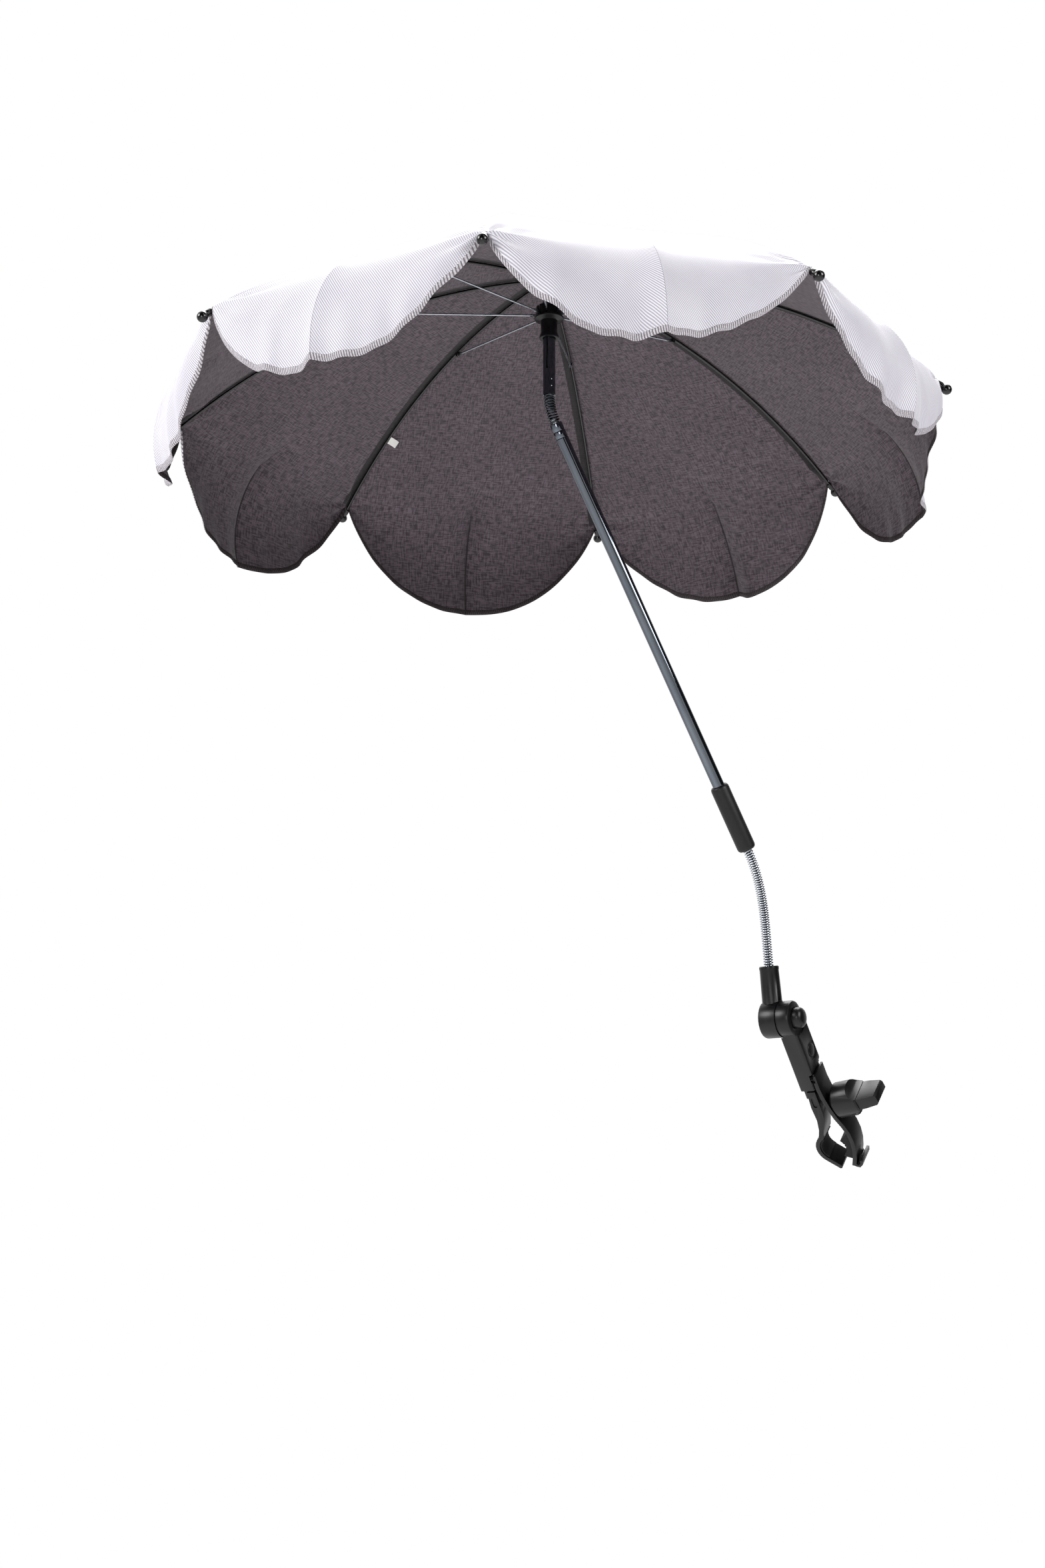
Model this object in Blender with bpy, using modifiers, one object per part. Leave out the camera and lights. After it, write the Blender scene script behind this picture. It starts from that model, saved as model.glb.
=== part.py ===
"""Stroller parasol: an eight-rib sunshade on a tilting pole, with a gooseneck, a push-button knuckle
and a screw clamp for a stroller tube.

The frame is +Z up, with +X along the clamp's screw towards its knob. The origin is on the axis of the
clamped tube, at the middle of the jaws. The arm leans towards -Y.
"""

import math

import bmesh
import bpy
from mathutils import Matrix, Vector

MM = 0.001
DEG = math.pi / 180

# Clearances
SEAT = 0.3 * MM  # between pieces that touch on the real object
SLIP = 0.4 * MM  # around pieces that slide or turn

# Rest pose
CLAMP_LEAN = 42.3 * DEG  # lean of the arm, which is also the slope of the clamped tube
ARM_REACH = 153.0 * MM  # tube axis to knuckle axis
SOCKET_LEAN = 9.7 * DEG
SOCKET_DROP = 80 * DEG  # how far back the socket folds before it lies in the arm's notch
NECK_RISE = 111.6 * MM  # socket mouth to the lower end of the grip, upwards
NECK_FORWARD = 35.2 * MM  # the same, towards -Y
NECK_SIDE = 3.6 * MM  # the same, towards -X
POLE_LEAN = 30.5 * DEG
POLE_SIDE_LEAN = 10.54 * DEG
POLE_LENGTH = 457.0 * MM  # lower end of the grip to the tilt spring
TILT_GAP = 26.85 * MM  # straight distance between the two shafts across the tilt spring

# Clamped tube and jaws, in the plane across the tube
TUBE_R = 12.5 * MM
PAD_THICKNESS = 1.5 * MM
JAW_WALL = 4.2 * MM
JAW_WIDTH = 25.0 * MM
JAW_NECK_TOP = 71.0 * MM
JAW_TOP = 90.0 * MM
JAW_PLATE_X = 6.9 * MM
HINGE_X = 1.5 * MM
HINGE_Z = 84.0 * MM
HINGE_EYE_R = 3.0 * MM
HINGE_PIN_R = 1.5 * MM
HINGE_LUG = 7.6 * MM  # width of the middle lug
FIXED_PAD_ARC = (125 * DEG, 232 * DEG)
MOVING_PAD_ARC = (-52 * DEG, 44 * DEG)

# Clamp screw and knob, along the knob's axis from its base
KNOB_X = 16.4 * MM
KNOB_Z = 50.7 * MM
KNOB_TILT = 9.0 * DEG
KNOB_R = 18.0 * MM
KNOB_LENGTH = 28.0 * MM
KNOB_SCOOP_R = 10.0 * MM
WING_LENGTH = 21.0 * MM
WING_WIDTH = 30.0 * MM
WING_THICKNESS = 13.0 * MM
SCREW_R = 3.0 * MM
SCREW_IN_KNOB = 14.0 * MM
SCREW_HEAD_R = 5.6 * MM
SCREW_HEAD_THICKNESS = 4.0 * MM
SCREW_HEAD_AT = 19.8 * MM  # knob base to the inner face of the screw's head
WASHER_R = 8.5 * MM
WASHER_THICKNESS = 1.5 * MM
BOSS_R = 9.5 * MM
BOSS_HOLE_R = 5.0 * MM
BOSS_HOLE_DROP = 1.0 * MM

# Arm
ARM_LEFT = -12.3 * MM
ARM_RIGHT = 6.4 * MM
ARM_FRONT = -12.5 * MM
ARM_BACK = 16.5 * MM
ARM_WALL = 1.8 * MM
ARM_BOTTOM = 73.0 * MM
ARM_SIDE_BOTTOM = 93.5 * MM
ARM_POCKET_TOP = 129.0 * MM
ARM_EDGE = 2.0 * MM
TONGUE_RIGHT = -1.0 * MM
TONGUE_TOP = 127.0 * MM
RELEASE_Y = 5.5 * MM
RELEASE_Z = 110.0 * MM
RELEASE_DISH_R = 10.0 * MM
RELEASE_R = 7.2 * MM
RELEASE_RIM = 1.1 * MM

# Knuckle
SEAM_X = -9.5 * MM
KNUCKLE_LEFT = -28.0 * MM
KNUCKLE_RIGHT = 4.5 * MM
SOCKET_HEAD_R = 18.5 * MM
ARM_HEAD_R = 17.5 * MM
KNUCKLE_EDGE = 2.5 * MM
BUTTON_R = 10.5 * MM
BUTTON_PROUD = 10.0 * MM
BUTTON_DEPTH = 5.5 * MM  # skirt inside the knuckle
BUTTON_WALL = 2.0 * MM
BUTTON_STROKE = 4.0 * MM
BUTTON_BORE_DEPTH = 11.0 * MM
BOLT_R = 3.0 * MM
BOLT_HEAD_R = 5.4 * MM
BOLT_HEAD_THICKNESS = 3.0 * MM
BOLT_END = -25.0 * MM
SPRING_WALL = 1.0 * MM

# Socket and gooseneck
SOCKET_X = -18.5 * MM
SOCKET_HEIGHT = 52.6 * MM
SOCKET_R = 10.0 * MM
SOCKET_BORE_DEPTH = 26.0 * MM
NECK_R = 5.0 * MM
NECK_WIRE = 1.8 * MM
NECK_PITCH = 2.85 * MM
NECK_IN_SOCKET = 5.0 * MM
NECK_IN_GRIP = 5.0 * MM
NECK_HANDLE = 0.36  # how far each end of the neck keeps its direction, as a share of its span

# Grip and shafts
GRIP_R = 9.25 * MM
GRIP_LENGTH = 70.0 * MM
SHAFT_R = 6.0 * MM
SHAFT_WALL = 0.8 * MM
SHAFT_START = 13.0 * MM
CORE_IN_SHAFT = 18.0 * MM
DIMPLE_R = 1.6 * MM
DIMPLE_DEPTH = 0.45 * MM
DIMPLE_AT = (8.0 * MM, 15.0 * MM)

# Tilt spring
TILT_R = 5.4 * MM
TILT_WIRE = 1.6 * MM
TILT_CURLS = 10
PLUG_LENGTH = 20.0 * MM
PLUG_NOSE = 4.5 * MM

# Canopy, measured from the top of the tilt spring
RIM_R = 375.0 * MM  # circle through the rib tips
RIB_ARC_R = 581.0 * MM
CROWN_HEIGHT = 119.8 * MM
RIB_WIDTH = 3.4 * MM
RIB_HEIGHT = 3.2 * MM
RIB_WALL = 0.7 * MM
RIB_BLADE = 1.4 * MM
RIB_START = 16.0 * MM
RIB_COUNT = 8
RIB_STEPS = 6  # straight runs that stand in for a rib's arc, which the cloth over it shares
FIRST_RIB = -67.5 * DEG
NOTCH_WIRE_R = 9.5 * MM
WIRE_R = 0.5 * MM
EYE_R = 1.7 * MM
EYE_HOLE_R = 0.9 * MM
NOTCH_R = 12.5 * MM
NOTCH_HEIGHT = 7.0 * MM
SHAFT_ABOVE_NOTCH = 11.0 * MM
TIP_BALL_R = 5.0 * MM
TIP_NECK_R = 3.3 * MM
TIP_NECK = 11.5 * MM  # open end of the tip to the middle of its ball
TIP_BORE_R = 2.75 * MM
CAP_R = 10.5 * MM
CAP_HEIGHT = 17.0 * MM
CAP_WALL = 1.8 * MM

# Stretchers and runner
JOINT_R = 156.0 * MM  # shaft axis to the joint of stretcher and rib
JOINT_DROP = 2.6 * MM
JOINT_PIN_R = 0.65 * MM
JOINT_EYE_R = 2.2 * MM
JOINT_EYE_HOLE_R = 1.5 * MM  # an open pivot: it takes what the even ratios of the linkage leave
STRETCHER_R = 1.0 * MM
STRETCHER_BLADE = 1.2 * MM
RUNNER_WIRE_R = 10.6 * MM
RUNNER_WIRE_Z = 83.5 * MM
RUNNER_BOTTOM = 58.5 * MM
RUNNER_FLARE_R = 9.4 * MM
RUNNER_NECK_R = 8.0 * MM
RUNNER_FLANGE_Z = 78.5 * MM
RUNNER_FLANGE_R = 14.25 * MM
RUNNER_RING_R = 12.6 * MM
RUNNER_TOP = 91.0 * MM
RUNNER_TRAVEL = 50.0 * MM

# Catch spring in the upper shaft
CATCH_AZIMUTH = -80 * DEG
CATCH_THICKNESS = 0.9 * MM
CATCH_FOOT_Z = 28.0 * MM
CATCH_PROUD = 2.2 * MM

# Cloth
CLOTH = 0.8 * MM
CLOTH_ABOVE_RIB = 0.8 * MM
CLOTH_START_R = 7.4 * MM
CLOTH_TIP_GAP = 16.0 * MM  # end of the seam to the middle of the tip's ball
LOBE_DEPTH = 104.0 * MM
LOBE_END_SLOPE = 105 * DEG  # the edge hangs and turns in a little
LOBE_CREASE = 3.0 * MM
LOBE_RUFFLE = 3.0 * MM
SEAM_HALF_GAP = 0.25 * MM
GORE_ACROSS = 6
LOBE_ROWS = 2

# Colours as they look, in linear values from sRGB hex
LOOKS = {
    "black_plastic": ("232325", 0.42, 0.0),
    "gloss_black": ("101012", 0.18, 0.0),
    "rubber": ("1b1b1c", 0.75, 0.0),
    "chrome": ("c9ccd1", 0.14, 1.0),
    "spring_steel": ("a9aeb4", 0.3, 1.0),
    "rib_steel": ("3a3b3e", 0.38, 1.0),
    "bare_steel": ("b4b7b9", 0.32, 1.0),
    "canopy_fabric": ("c6c3ca", 0.85, 0.0),
}


def linear(hex_code):
    """An sRGB hex code as a linear colour with full alpha."""
    parts = [int(hex_code[i : i + 2], 16) / 255 for i in (0, 2, 4)]
    return [c / 12.92 if c <= 0.04045 else ((c + 0.055) / 1.055) ** 2.4 for c in parts] + [1]


def make_looks():
    made = {}
    for name, (hex_code, roughness, metallic) in LOOKS.items():
        look = bpy.data.materials.new(name)
        look.use_nodes = True
        shader = look.node_tree.nodes["Principled BSDF"]
        shader.inputs["Base Color"].default_value = linear(hex_code)
        shader.inputs["Roughness"].default_value = roughness
        shader.inputs["Metallic"].default_value = metallic
        look.diffuse_color = linear(hex_code)
        made[name] = look
    return made


def new_collection(name):
    made = bpy.data.collections.new(name)
    bpy.context.scene.collection.children.link(made)
    return made


for old in list(bpy.data.objects):
    bpy.data.objects.remove(old, do_unlink=True)
LOOK = make_looks()
PARTS = new_collection("stroller_parasol")
HELPERS = new_collection("cutters")


# Shapes that other shapes are joined to or cut with


def helper(mesh, matrix=None):
    """A hidden object in the cutters' collection."""
    obj = bpy.data.objects.new("helper", mesh)
    HELPERS.objects.link(obj)
    obj.hide_render = True
    obj.display_type = "WIRE"
    if matrix:
        obj.matrix_world = matrix
    return obj


def from_bmesh(bm):
    mesh = bpy.data.meshes.new("shape")
    bm.to_mesh(mesh)
    bm.free()
    return mesh


def box(low, high, edge=0.0):
    """A box between two corners, its edges along Z rounded where edge is given."""
    low, high = Vector(low), Vector(high)
    size = Matrix.Diagonal((high - low).to_4d())
    size[3][3] = 1
    bm = bmesh.new()
    bmesh.ops.create_cube(bm, size=1, matrix=Matrix.Translation((low + high) / 2) @ size)
    if edge:
        upright = [e for e in bm.edges if abs((e.verts[0].co - e.verts[1].co).z) > edge]
        bmesh.ops.bevel(bm, geom=upright, offset=edge, segments=3, affect="EDGES", profile=0.5, material=-1)
    return helper(from_bmesh(bm))


def along(axis):
    """The rotation that takes Z to an axis."""
    return Vector(axis).to_track_quat("Z", "Y").to_matrix().to_4x4()


def rod(start, end, radius, sides=16, end_radius=None):
    """A cylinder, or a cone, between two points."""
    start, end = Vector(start), Vector(end)
    place = Matrix.Translation((start + end) / 2) @ along(end - start)
    bm = bmesh.new()
    bmesh.ops.create_cone(
        bm,
        cap_ends=True,
        segments=sides,
        radius1=radius,
        radius2=radius if end_radius is None else end_radius,
        depth=(end - start).length,
        matrix=place,
    )
    return helper(from_bmesh(bm))


def ball(centre, radius, sides=10):
    bm = bmesh.new()
    bmesh.ops.create_uvsphere(
        bm, u_segments=sides, v_segments=sides // 2, radius=radius, matrix=Matrix.Translation(centre)
    )
    return helper(from_bmesh(bm))


def turned(profile, sides, matrix=None):
    """A shape turned about Z. Its (radius, height) points run from the top down the outside, and a
    profile that stays off the axis closes on itself."""
    ring = profile[0][0] > 0
    points = [(r, 0, z) for r, z in profile]
    edges = [(i, i + 1) for i in range(len(points) - 1)] + ([(len(points) - 1, 0)] if ring else [])
    mesh = bpy.data.meshes.new("profile")
    mesh.from_pydata(points, edges, [])
    obj = helper(mesh, matrix)
    screw = obj.modifiers.new("Turn", "SCREW")
    screw.steps = screw.render_steps = sides
    screw.use_merge_vertices = True
    screw.merge_threshold = 0.00001
    return obj


def plate(outline, low, high, matrix=None):
    """A flat outline in X and Z, as thick as low to high along Y."""
    curve = bpy.data.curves.new("outline", "CURVE")
    curve.dimensions = "2D"
    curve.fill_mode = "BOTH"
    curve.extrude = (high - low) / 2
    spline = curve.splines.new("POLY")
    spline.points.add(len(outline) - 1)
    for point, (x, z) in zip(spline.points, outline):
        point.co = (x, z, 0, 1)
    spline.use_cyclic_u = True
    upright = Matrix.Translation((0, (low + high) / 2, 0)) @ Matrix.Rotation(math.pi / 2, 4, "X")
    return mesh_of_curve(curve, (matrix or Matrix()) @ upright)


def mesh_of_curve(curve, matrix=None):
    """A curve as a closed mesh, its caps welded."""
    source = helper(curve)
    bpy.context.view_layer.update()
    graph = bpy.context.evaluated_depsgraph_get()
    mesh = bpy.data.meshes.new_from_object(source.evaluated_get(graph))
    bm = bmesh.new()
    bm.from_mesh(mesh)
    bmesh.ops.remove_doubles(bm, verts=bm.verts, dist=0.000002)
    bmesh.ops.recalc_face_normals(bm, faces=bm.faces)
    if matrix:
        bmesh.ops.transform(bm, matrix=matrix, verts=bm.verts)
    bm.to_mesh(mesh)
    bm.free()
    bpy.data.objects.remove(source)
    return helper(mesh)


def wire(points, radius, resolution, matrix=None):
    """A tube along points, as one closed mesh."""
    curve = bpy.data.curves.new("wire", "CURVE")
    curve.dimensions = "3D"
    curve.bevel_depth = radius
    curve.bevel_resolution = resolution
    curve.use_fill_caps = True
    spline = curve.splines.new("POLY")
    spline.points.add(len(points) - 1)
    for point, co in zip(spline.points, points):
        point.co = (*co, 1)
    return mesh_of_curve(curve, matrix)


def combined(base, joins=(), cuts=()):
    """One mesh: the base with each join united with it and each cut taken from it."""
    tools = [(other, "UNION") for other in joins] + [(other, "DIFFERENCE") for other in cuts]
    for other, operation in tools:
        boolean = base.modifiers.new(operation.title(), "BOOLEAN")
        boolean.operation = operation
        boolean.solver = "EXACT"
        boolean.object = other
    bpy.context.view_layer.update()
    graph = bpy.context.evaluated_depsgraph_get()
    mesh = bpy.data.meshes.new_from_object(base.evaluated_get(graph))
    mesh.transform(base.matrix_world)
    for used in [base] + [other for other, _ in tools]:
        bpy.data.objects.remove(used)
    return mesh


# Frames


def translation(x, y, z):
    return Matrix.Translation((x, y, z))


def bezier(points, share):
    a, b, c, d = points
    rest = 1 - share
    return a * rest**3 + b * 3 * rest**2 * share + c * 3 * rest * share**2 + d * share**3


CLAMP = Matrix.Rotation(CLAMP_LEAN, 4, "X")
JAW_HINGE = CLAMP @ translation(HINGE_X, 0, HINGE_Z)
KNOB = CLAMP @ translation(KNOB_X, 0, KNOB_Z) @ Matrix.Rotation(-KNOB_TILT, 4, "Y")
KNUCKLE = (
    Matrix.Translation(CLAMP @ Vector((0, 0, ARM_REACH))) @ Matrix.Rotation(SOCKET_LEAN, 4, "X")
)
SOCKET_MOUTH = KNUCKLE @ Vector((SOCKET_X, 0, SOCKET_HEIGHT))
SOCKET_UP = (KNUCKLE.to_3x3() @ Vector((0, 0, 1))).normalized()
POLE_TURN = Matrix.Rotation(POLE_LEAN, 4, "X") @ Matrix.Rotation(-POLE_SIDE_LEAN, 4, "Y")
POLE_UP = (POLE_TURN.to_3x3() @ Vector((0, 0, 1))).normalized()
POLE_BASE = SOCKET_MOUTH + Vector((-NECK_SIDE, -NECK_FORWARD, NECK_RISE))
NECK_SPAN = (POLE_BASE - SOCKET_MOUTH).length
NECK_CURVE = (
    SOCKET_MOUTH,
    SOCKET_MOUTH + SOCKET_UP * NECK_SPAN * NECK_HANDLE,
    POLE_BASE - POLE_UP * NECK_SPAN * NECK_HANDLE,
    POLE_BASE,
)
NECK_AXIS = SOCKET_UP.cross(POLE_UP).normalized()
NECK_MIDDLE = bezier(NECK_CURVE, 0.5)
NECK_JOINT = Matrix.Translation(NECK_MIDDLE) @ POLE_TURN
POLE_AT = NECK_JOINT.inverted() @ POLE_BASE
SPRING_BOTTOM = POLE_BASE + POLE_UP * POLE_LENGTH
TILT_ANGLE = POLE_UP.angle(Vector((0, 0, 1)))
TILT_AXIS = POLE_UP.cross(Vector((0, 0, 1))).normalized()
SPRING_TOP = SPRING_BOTTOM + (POLE_UP + Vector((0, 0, 1))).normalized() * TILT_GAP
TILT_ARC_R = TILT_GAP / 2 / math.sin(TILT_ANGLE / 2)
TILT_CENTRE = SPRING_TOP + TILT_AXIS.cross(Vector((0, 0, 1))).normalized() * TILT_ARC_R
TILT_MIDDLE = TILT_CENTRE + ((SPRING_BOTTOM + SPRING_TOP) / 2 - TILT_CENTRE).normalized() * TILT_ARC_R
CANOPY_JOINT = Matrix.Translation(TILT_MIDDLE)
CANOPY_AT = SPRING_TOP - TILT_MIDDLE


def empty(name, matrix, parent=None):
    """An empty at a world matrix, the parent of the pieces that move with it."""
    made = bpy.data.objects.new(name, None)
    made.empty_display_size = 0.02
    PARTS.objects.link(made)
    made.parent = parent
    made.matrix_basis = Matrix(parent["world"]).inverted() @ matrix if parent else matrix
    made["world"] = [list(row) for row in matrix]
    return made


CLAMP_EMPTY = empty("clamp_frame", CLAMP)
JAW_EMPTY = empty("jaw_hinge_frame", JAW_HINGE, CLAMP_EMPTY)
KNOB_EMPTY = empty("knob_frame", KNOB, CLAMP_EMPTY)
KNUCKLE_EMPTY = empty("knuckle_frame", KNUCKLE, CLAMP_EMPTY)
NECK_EMPTY = empty("neck_frame", NECK_JOINT, KNUCKLE_EMPTY)
CANOPY_EMPTY = empty("tilt_frame", CANOPY_JOINT, NECK_EMPTY)


def piece(name, mesh, look, parent, at=(0, 0, 0), turn=None):
    """A finished piece in the assembly: a mesh with its material under its frame's empty."""
    mesh.name = name
    mesh.materials.clear()
    mesh.materials.append(LOOK[look])
    mesh.shade_smooth()
    mesh.set_sharp_from_angle(angle=35 * DEG)
    obj = bpy.data.objects.new(name, mesh)
    PARTS.objects.link(obj)
    obj.parent = parent
    obj.matrix_basis = Matrix.Translation(at) @ (turn or Matrix())
    return obj


def arc(radius, start, end, steps, centre=(0, 0)):
    """Points on an arc in X and Z."""
    angles = [start + (end - start) * i / steps for i in range(steps + 1)]
    return [(centre[0] + radius * math.cos(a), centre[1] + radius * math.sin(a)) for a in angles]


def smooth_line(points, steps):
    """A Catmull-Rom curve through 2D points."""
    ends = [points[0], *points, points[-1]]
    made = []
    for a, b, c, d in zip(ends, ends[1:], ends[2:], ends[3:]):
        for i in range(steps):
            t = i / steps
            weights = (
                (-t + 2 * t**2 - t**3) / 2,
                (2 - 5 * t**2 + 3 * t**3) / 2,
                (t + 4 * t**2 - 3 * t**3) / 2,
                (t**3 - t**2) / 2,
            )
            made.append(tuple(sum(w * p[k] for w, p in zip(weights, (a, b, c, d))) for k in (0, 1)))
    return [*made, points[-1]]


def ribbon(line, thickness):
    """The outline of a strip of even thickness along a 2D line."""
    left, right = [], []
    for i, (x, z) in enumerate(line):
        before, after = line[max(i - 1, 0)], line[min(i + 1, len(line) - 1)]
        length = math.dist(before, after)
        nx, nz = (after[1] - before[1]) / length, -(after[0] - before[0]) / length
        left.append((x + nx * thickness / 2, z + nz * thickness / 2))
        right.append((x - nx * thickness / 2, z - nz * thickness / 2))
    return left + right[::-1]


def tube_profile(outer, inner, bottom, top, edge=0.0):
    """A ring's profile, with its outer corners cut back by edge."""
    corners = [(outer - edge, top), (outer, top - edge), (outer, bottom + edge), (outer - edge, bottom)]
    if not edge:
        corners = [(outer, top), (outer, bottom)]
    return [*corners, (inner, bottom), (inner, top)]


# Clamp


def make_clamp_body():
    """The fixed jaw: a C round the tube, a neck for the screw, and the tongue that the arm slides on."""
    inner = TUBE_R + SEAT + PAD_THICKNESS + SEAT
    outer = inner + JAW_WALL
    start, end = 128 * DEG, FIXED_PAD_ARC[1]
    outline = [
        (2.4 * MM, JAW_NECK_TOP),
        (-6.2 * MM, JAW_NECK_TOP),
        (-7.6 * MM, 52 * MM),
        (-6.6 * MM, 36 * MM),
        (-8.4 * MM, 24 * MM),
        *arc(outer, start, end, 8),
        (-0.6 * MM, -24.8 * MM),
        (1.2 * MM, -24.6 * MM),
        (1.9 * MM, -21.6 * MM),
        *arc(inner, end, start - 10 * DEG, 8),
        (-3.6 * MM, 23 * MM),
        (0.8 * MM, 34 * MM),
        (2.4 * MM, 44 * MM),
    ]
    jaw = plate(outline, -JAW_WIDTH / 2, JAW_WIDTH / 2)
    left = ARM_LEFT + ARM_WALL + SLIP
    front, back = ARM_FRONT + ARM_WALL + SLIP, ARM_BACK - ARM_WALL - SLIP
    tongue = box((left, front, JAW_NECK_TOP - 9 * MM), (TONGUE_RIGHT, back, TONGUE_TOP), 1.2 * MM)
    lug_outline = [
        *arc(HINGE_EYE_R, -90 * DEG, 90 * DEG, 6, (HINGE_X, HINGE_Z)),
        (TONGUE_RIGHT - 1 * MM, HINGE_Z + HINGE_EYE_R),
        (TONGUE_RIGHT - 1 * MM, HINGE_Z - HINGE_EYE_R),
    ]
    lug = plate(lug_outline, -HINGE_LUG / 2, HINGE_LUG / 2)
    nose = plate(
        [
            (TONGUE_RIGHT - 1 * MM, RELEASE_Z - 9 * MM),
            (1.0 * MM, RELEASE_Z - 4 * MM),
            (1.0 * MM, RELEASE_Z + 3 * MM),
            (TONGUE_RIGHT - 1 * MM, RELEASE_Z + 10 * MM),
        ],
        RELEASE_Y - 5 * MM,
        RELEASE_Y + 5 * MM,
    )
    reach = HINGE_EYE_R + SLIP
    pockets = [
        box(
            (TONGUE_RIGHT - 3 * MM, side[0], HINGE_Z - reach - 1 * MM),
            (HINGE_X + 2 * reach, side[1], HINGE_Z + reach + 1 * MM),
        )
        for side in ((-11 * MM, -HINGE_LUG / 2 - SLIP / 2), (HINGE_LUG / 2 + SLIP / 2, 11 * MM))
    ]
    pin_hole = rod((HINGE_X, -11 * MM, HINGE_Z), (HINGE_X, 11 * MM, HINGE_Z), HINGE_PIN_R + SEAT)
    to_clamp = CLAMP.inverted() @ KNOB
    screw_hole = rod(
        to_clamp @ Vector((-40 * MM, 0, 0)), to_clamp @ Vector((0, 0, 0)), SCREW_R + SLIP
    )
    head_pocket = rod(
        to_clamp @ Vector((-SCREW_HEAD_AT - 14 * MM, 0, 0)),
        to_clamp @ Vector((-SCREW_HEAD_AT + SEAT, 0, 0)),
        SCREW_HEAD_R + SLIP,
        6,
    )
    recess_outline = [
        *arc(2.2 * MM, 0, math.pi, 4, (-2.4 * MM, 62 * MM)),
        *arc(2.2 * MM, math.pi, 2 * math.pi, 4, (-2.4 * MM, 54 * MM)),
    ]
    recess = plate(recess_outline, -14 * MM, -11.2 * MM)
    mesh = combined(
        jaw,
        [tongue, nose],
        [*pockets, screw_hole, head_pocket, recess],
    )
    mesh = combined(helper(mesh), [lug], [pin_hole])
    piece("clamp_body", mesh, "black_plastic", CLAMP_EMPTY)


def make_fixed_pad():
    """The ribbed rubber lining of the fixed jaw."""
    start, end = FIXED_PAD_ARC
    inner = TUBE_R + SEAT
    outer = inner + PAD_THICKNESS
    outline = [*arc(inner, start, end, 12), *arc(outer, end, start, 12)]
    pad = plate(outline, -JAW_WIDTH / 2 + 1 * MM, JAW_WIDTH / 2 - 1 * MM)
    piece("fixed_jaw_pad", combined(pad), "rubber", CLAMP_EMPTY)


JAW_RELIEF_X = JAW_PLATE_X - JAW_WALL / 2 + 2.2 * MM
JAW_RELIEF_Y = JAW_WIDTH / 2 - 3.6 * MM
MOVING_JAW_LINE = [
    (JAW_PLATE_X, JAW_TOP),
    (JAW_PLATE_X, 74 * MM),
    (8.2 * MM, 62 * MM),
    (10.6 * MM, 50 * MM),
    (14.0 * MM, 38 * MM),
    (18.3 * MM, 27.5 * MM),
    (21.2 * MM, 18 * MM),
    (22.0 * MM, 7 * MM),
    (20.9 * MM, -4 * MM),
    (18.2 * MM, -14 * MM),
    (15.2 * MM, -22 * MM),
]


def make_moving_jaw():
    """The hinged jaw: a plate that bends out over the tube and ends in a rolled lip."""
    jaw = plate(ribbon(MOVING_JAW_LINE, JAW_WALL), -JAW_WIDTH / 2, JAW_WIDTH / 2)
    lip_line = [
        (16.6 * MM, -18.5 * MM),
        (17.6 * MM, -22.2 * MM),
        (20.6 * MM, -23.2 * MM),
        (23.4 * MM, -20.8 * MM),
        (24.4 * MM, -16.6 * MM),
    ]
    lip_half = JAW_WIDTH / 2 - 0.1 * MM
    lip = plate(ribbon(lip_line, 2.8 * MM), -lip_half, lip_half)
    inner, outer = HINGE_LUG / 2 + SLIP, 9.6 * MM
    lug_outline = [
        (JAW_PLATE_X, HINGE_Z - HINGE_EYE_R),
        (JAW_PLATE_X, HINGE_Z + HINGE_EYE_R),
        *arc(HINGE_EYE_R, 90 * DEG, 270 * DEG, 6, (HINGE_X, HINGE_Z)),
    ]
    lugs = [plate(lug_outline, low, high) for low, high in ((-outer, -inner), (inner, outer))]
    pin_hole = rod((HINGE_X, -14 * MM, HINGE_Z), (HINGE_X, 14 * MM, HINGE_Z), HINGE_PIN_R + SEAT)
    to_clamp = CLAMP.inverted() @ KNOB
    face = -WASHER_THICKNESS - 2 * SEAT
    boss = rod(
        to_clamp @ Vector((face - 6 * MM, 0, 0)), to_clamp @ Vector((face, 0, 0)), BOSS_R, 20
    )
    hole = rod(
        to_clamp @ Vector((-20 * MM, 0, -BOSS_HOLE_DROP)),
        to_clamp @ Vector((2 * MM, 0, -BOSS_HOLE_DROP)),
        BOSS_HOLE_R,
        14,
    )
    reliefs = [
        box((JAW_PLATE_X - JAW_WALL, low, JAW_TOP - 8 * MM), (JAW_RELIEF_X, high, JAW_TOP + 5 * MM))
        for low, high in ((-JAW_WIDTH, -JAW_RELIEF_Y), (JAW_RELIEF_Y, JAW_WIDTH))
    ]  # room beside the arm's walls when the jaw stands open
    mesh = combined(jaw, [lip, *lugs, boss], [pin_hole, hole, *reliefs])
    mesh.transform(Matrix.Translation((-HINGE_X, 0, -HINGE_Z)))
    piece("moving_jaw", mesh, "black_plastic", JAW_EMPTY)


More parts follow.
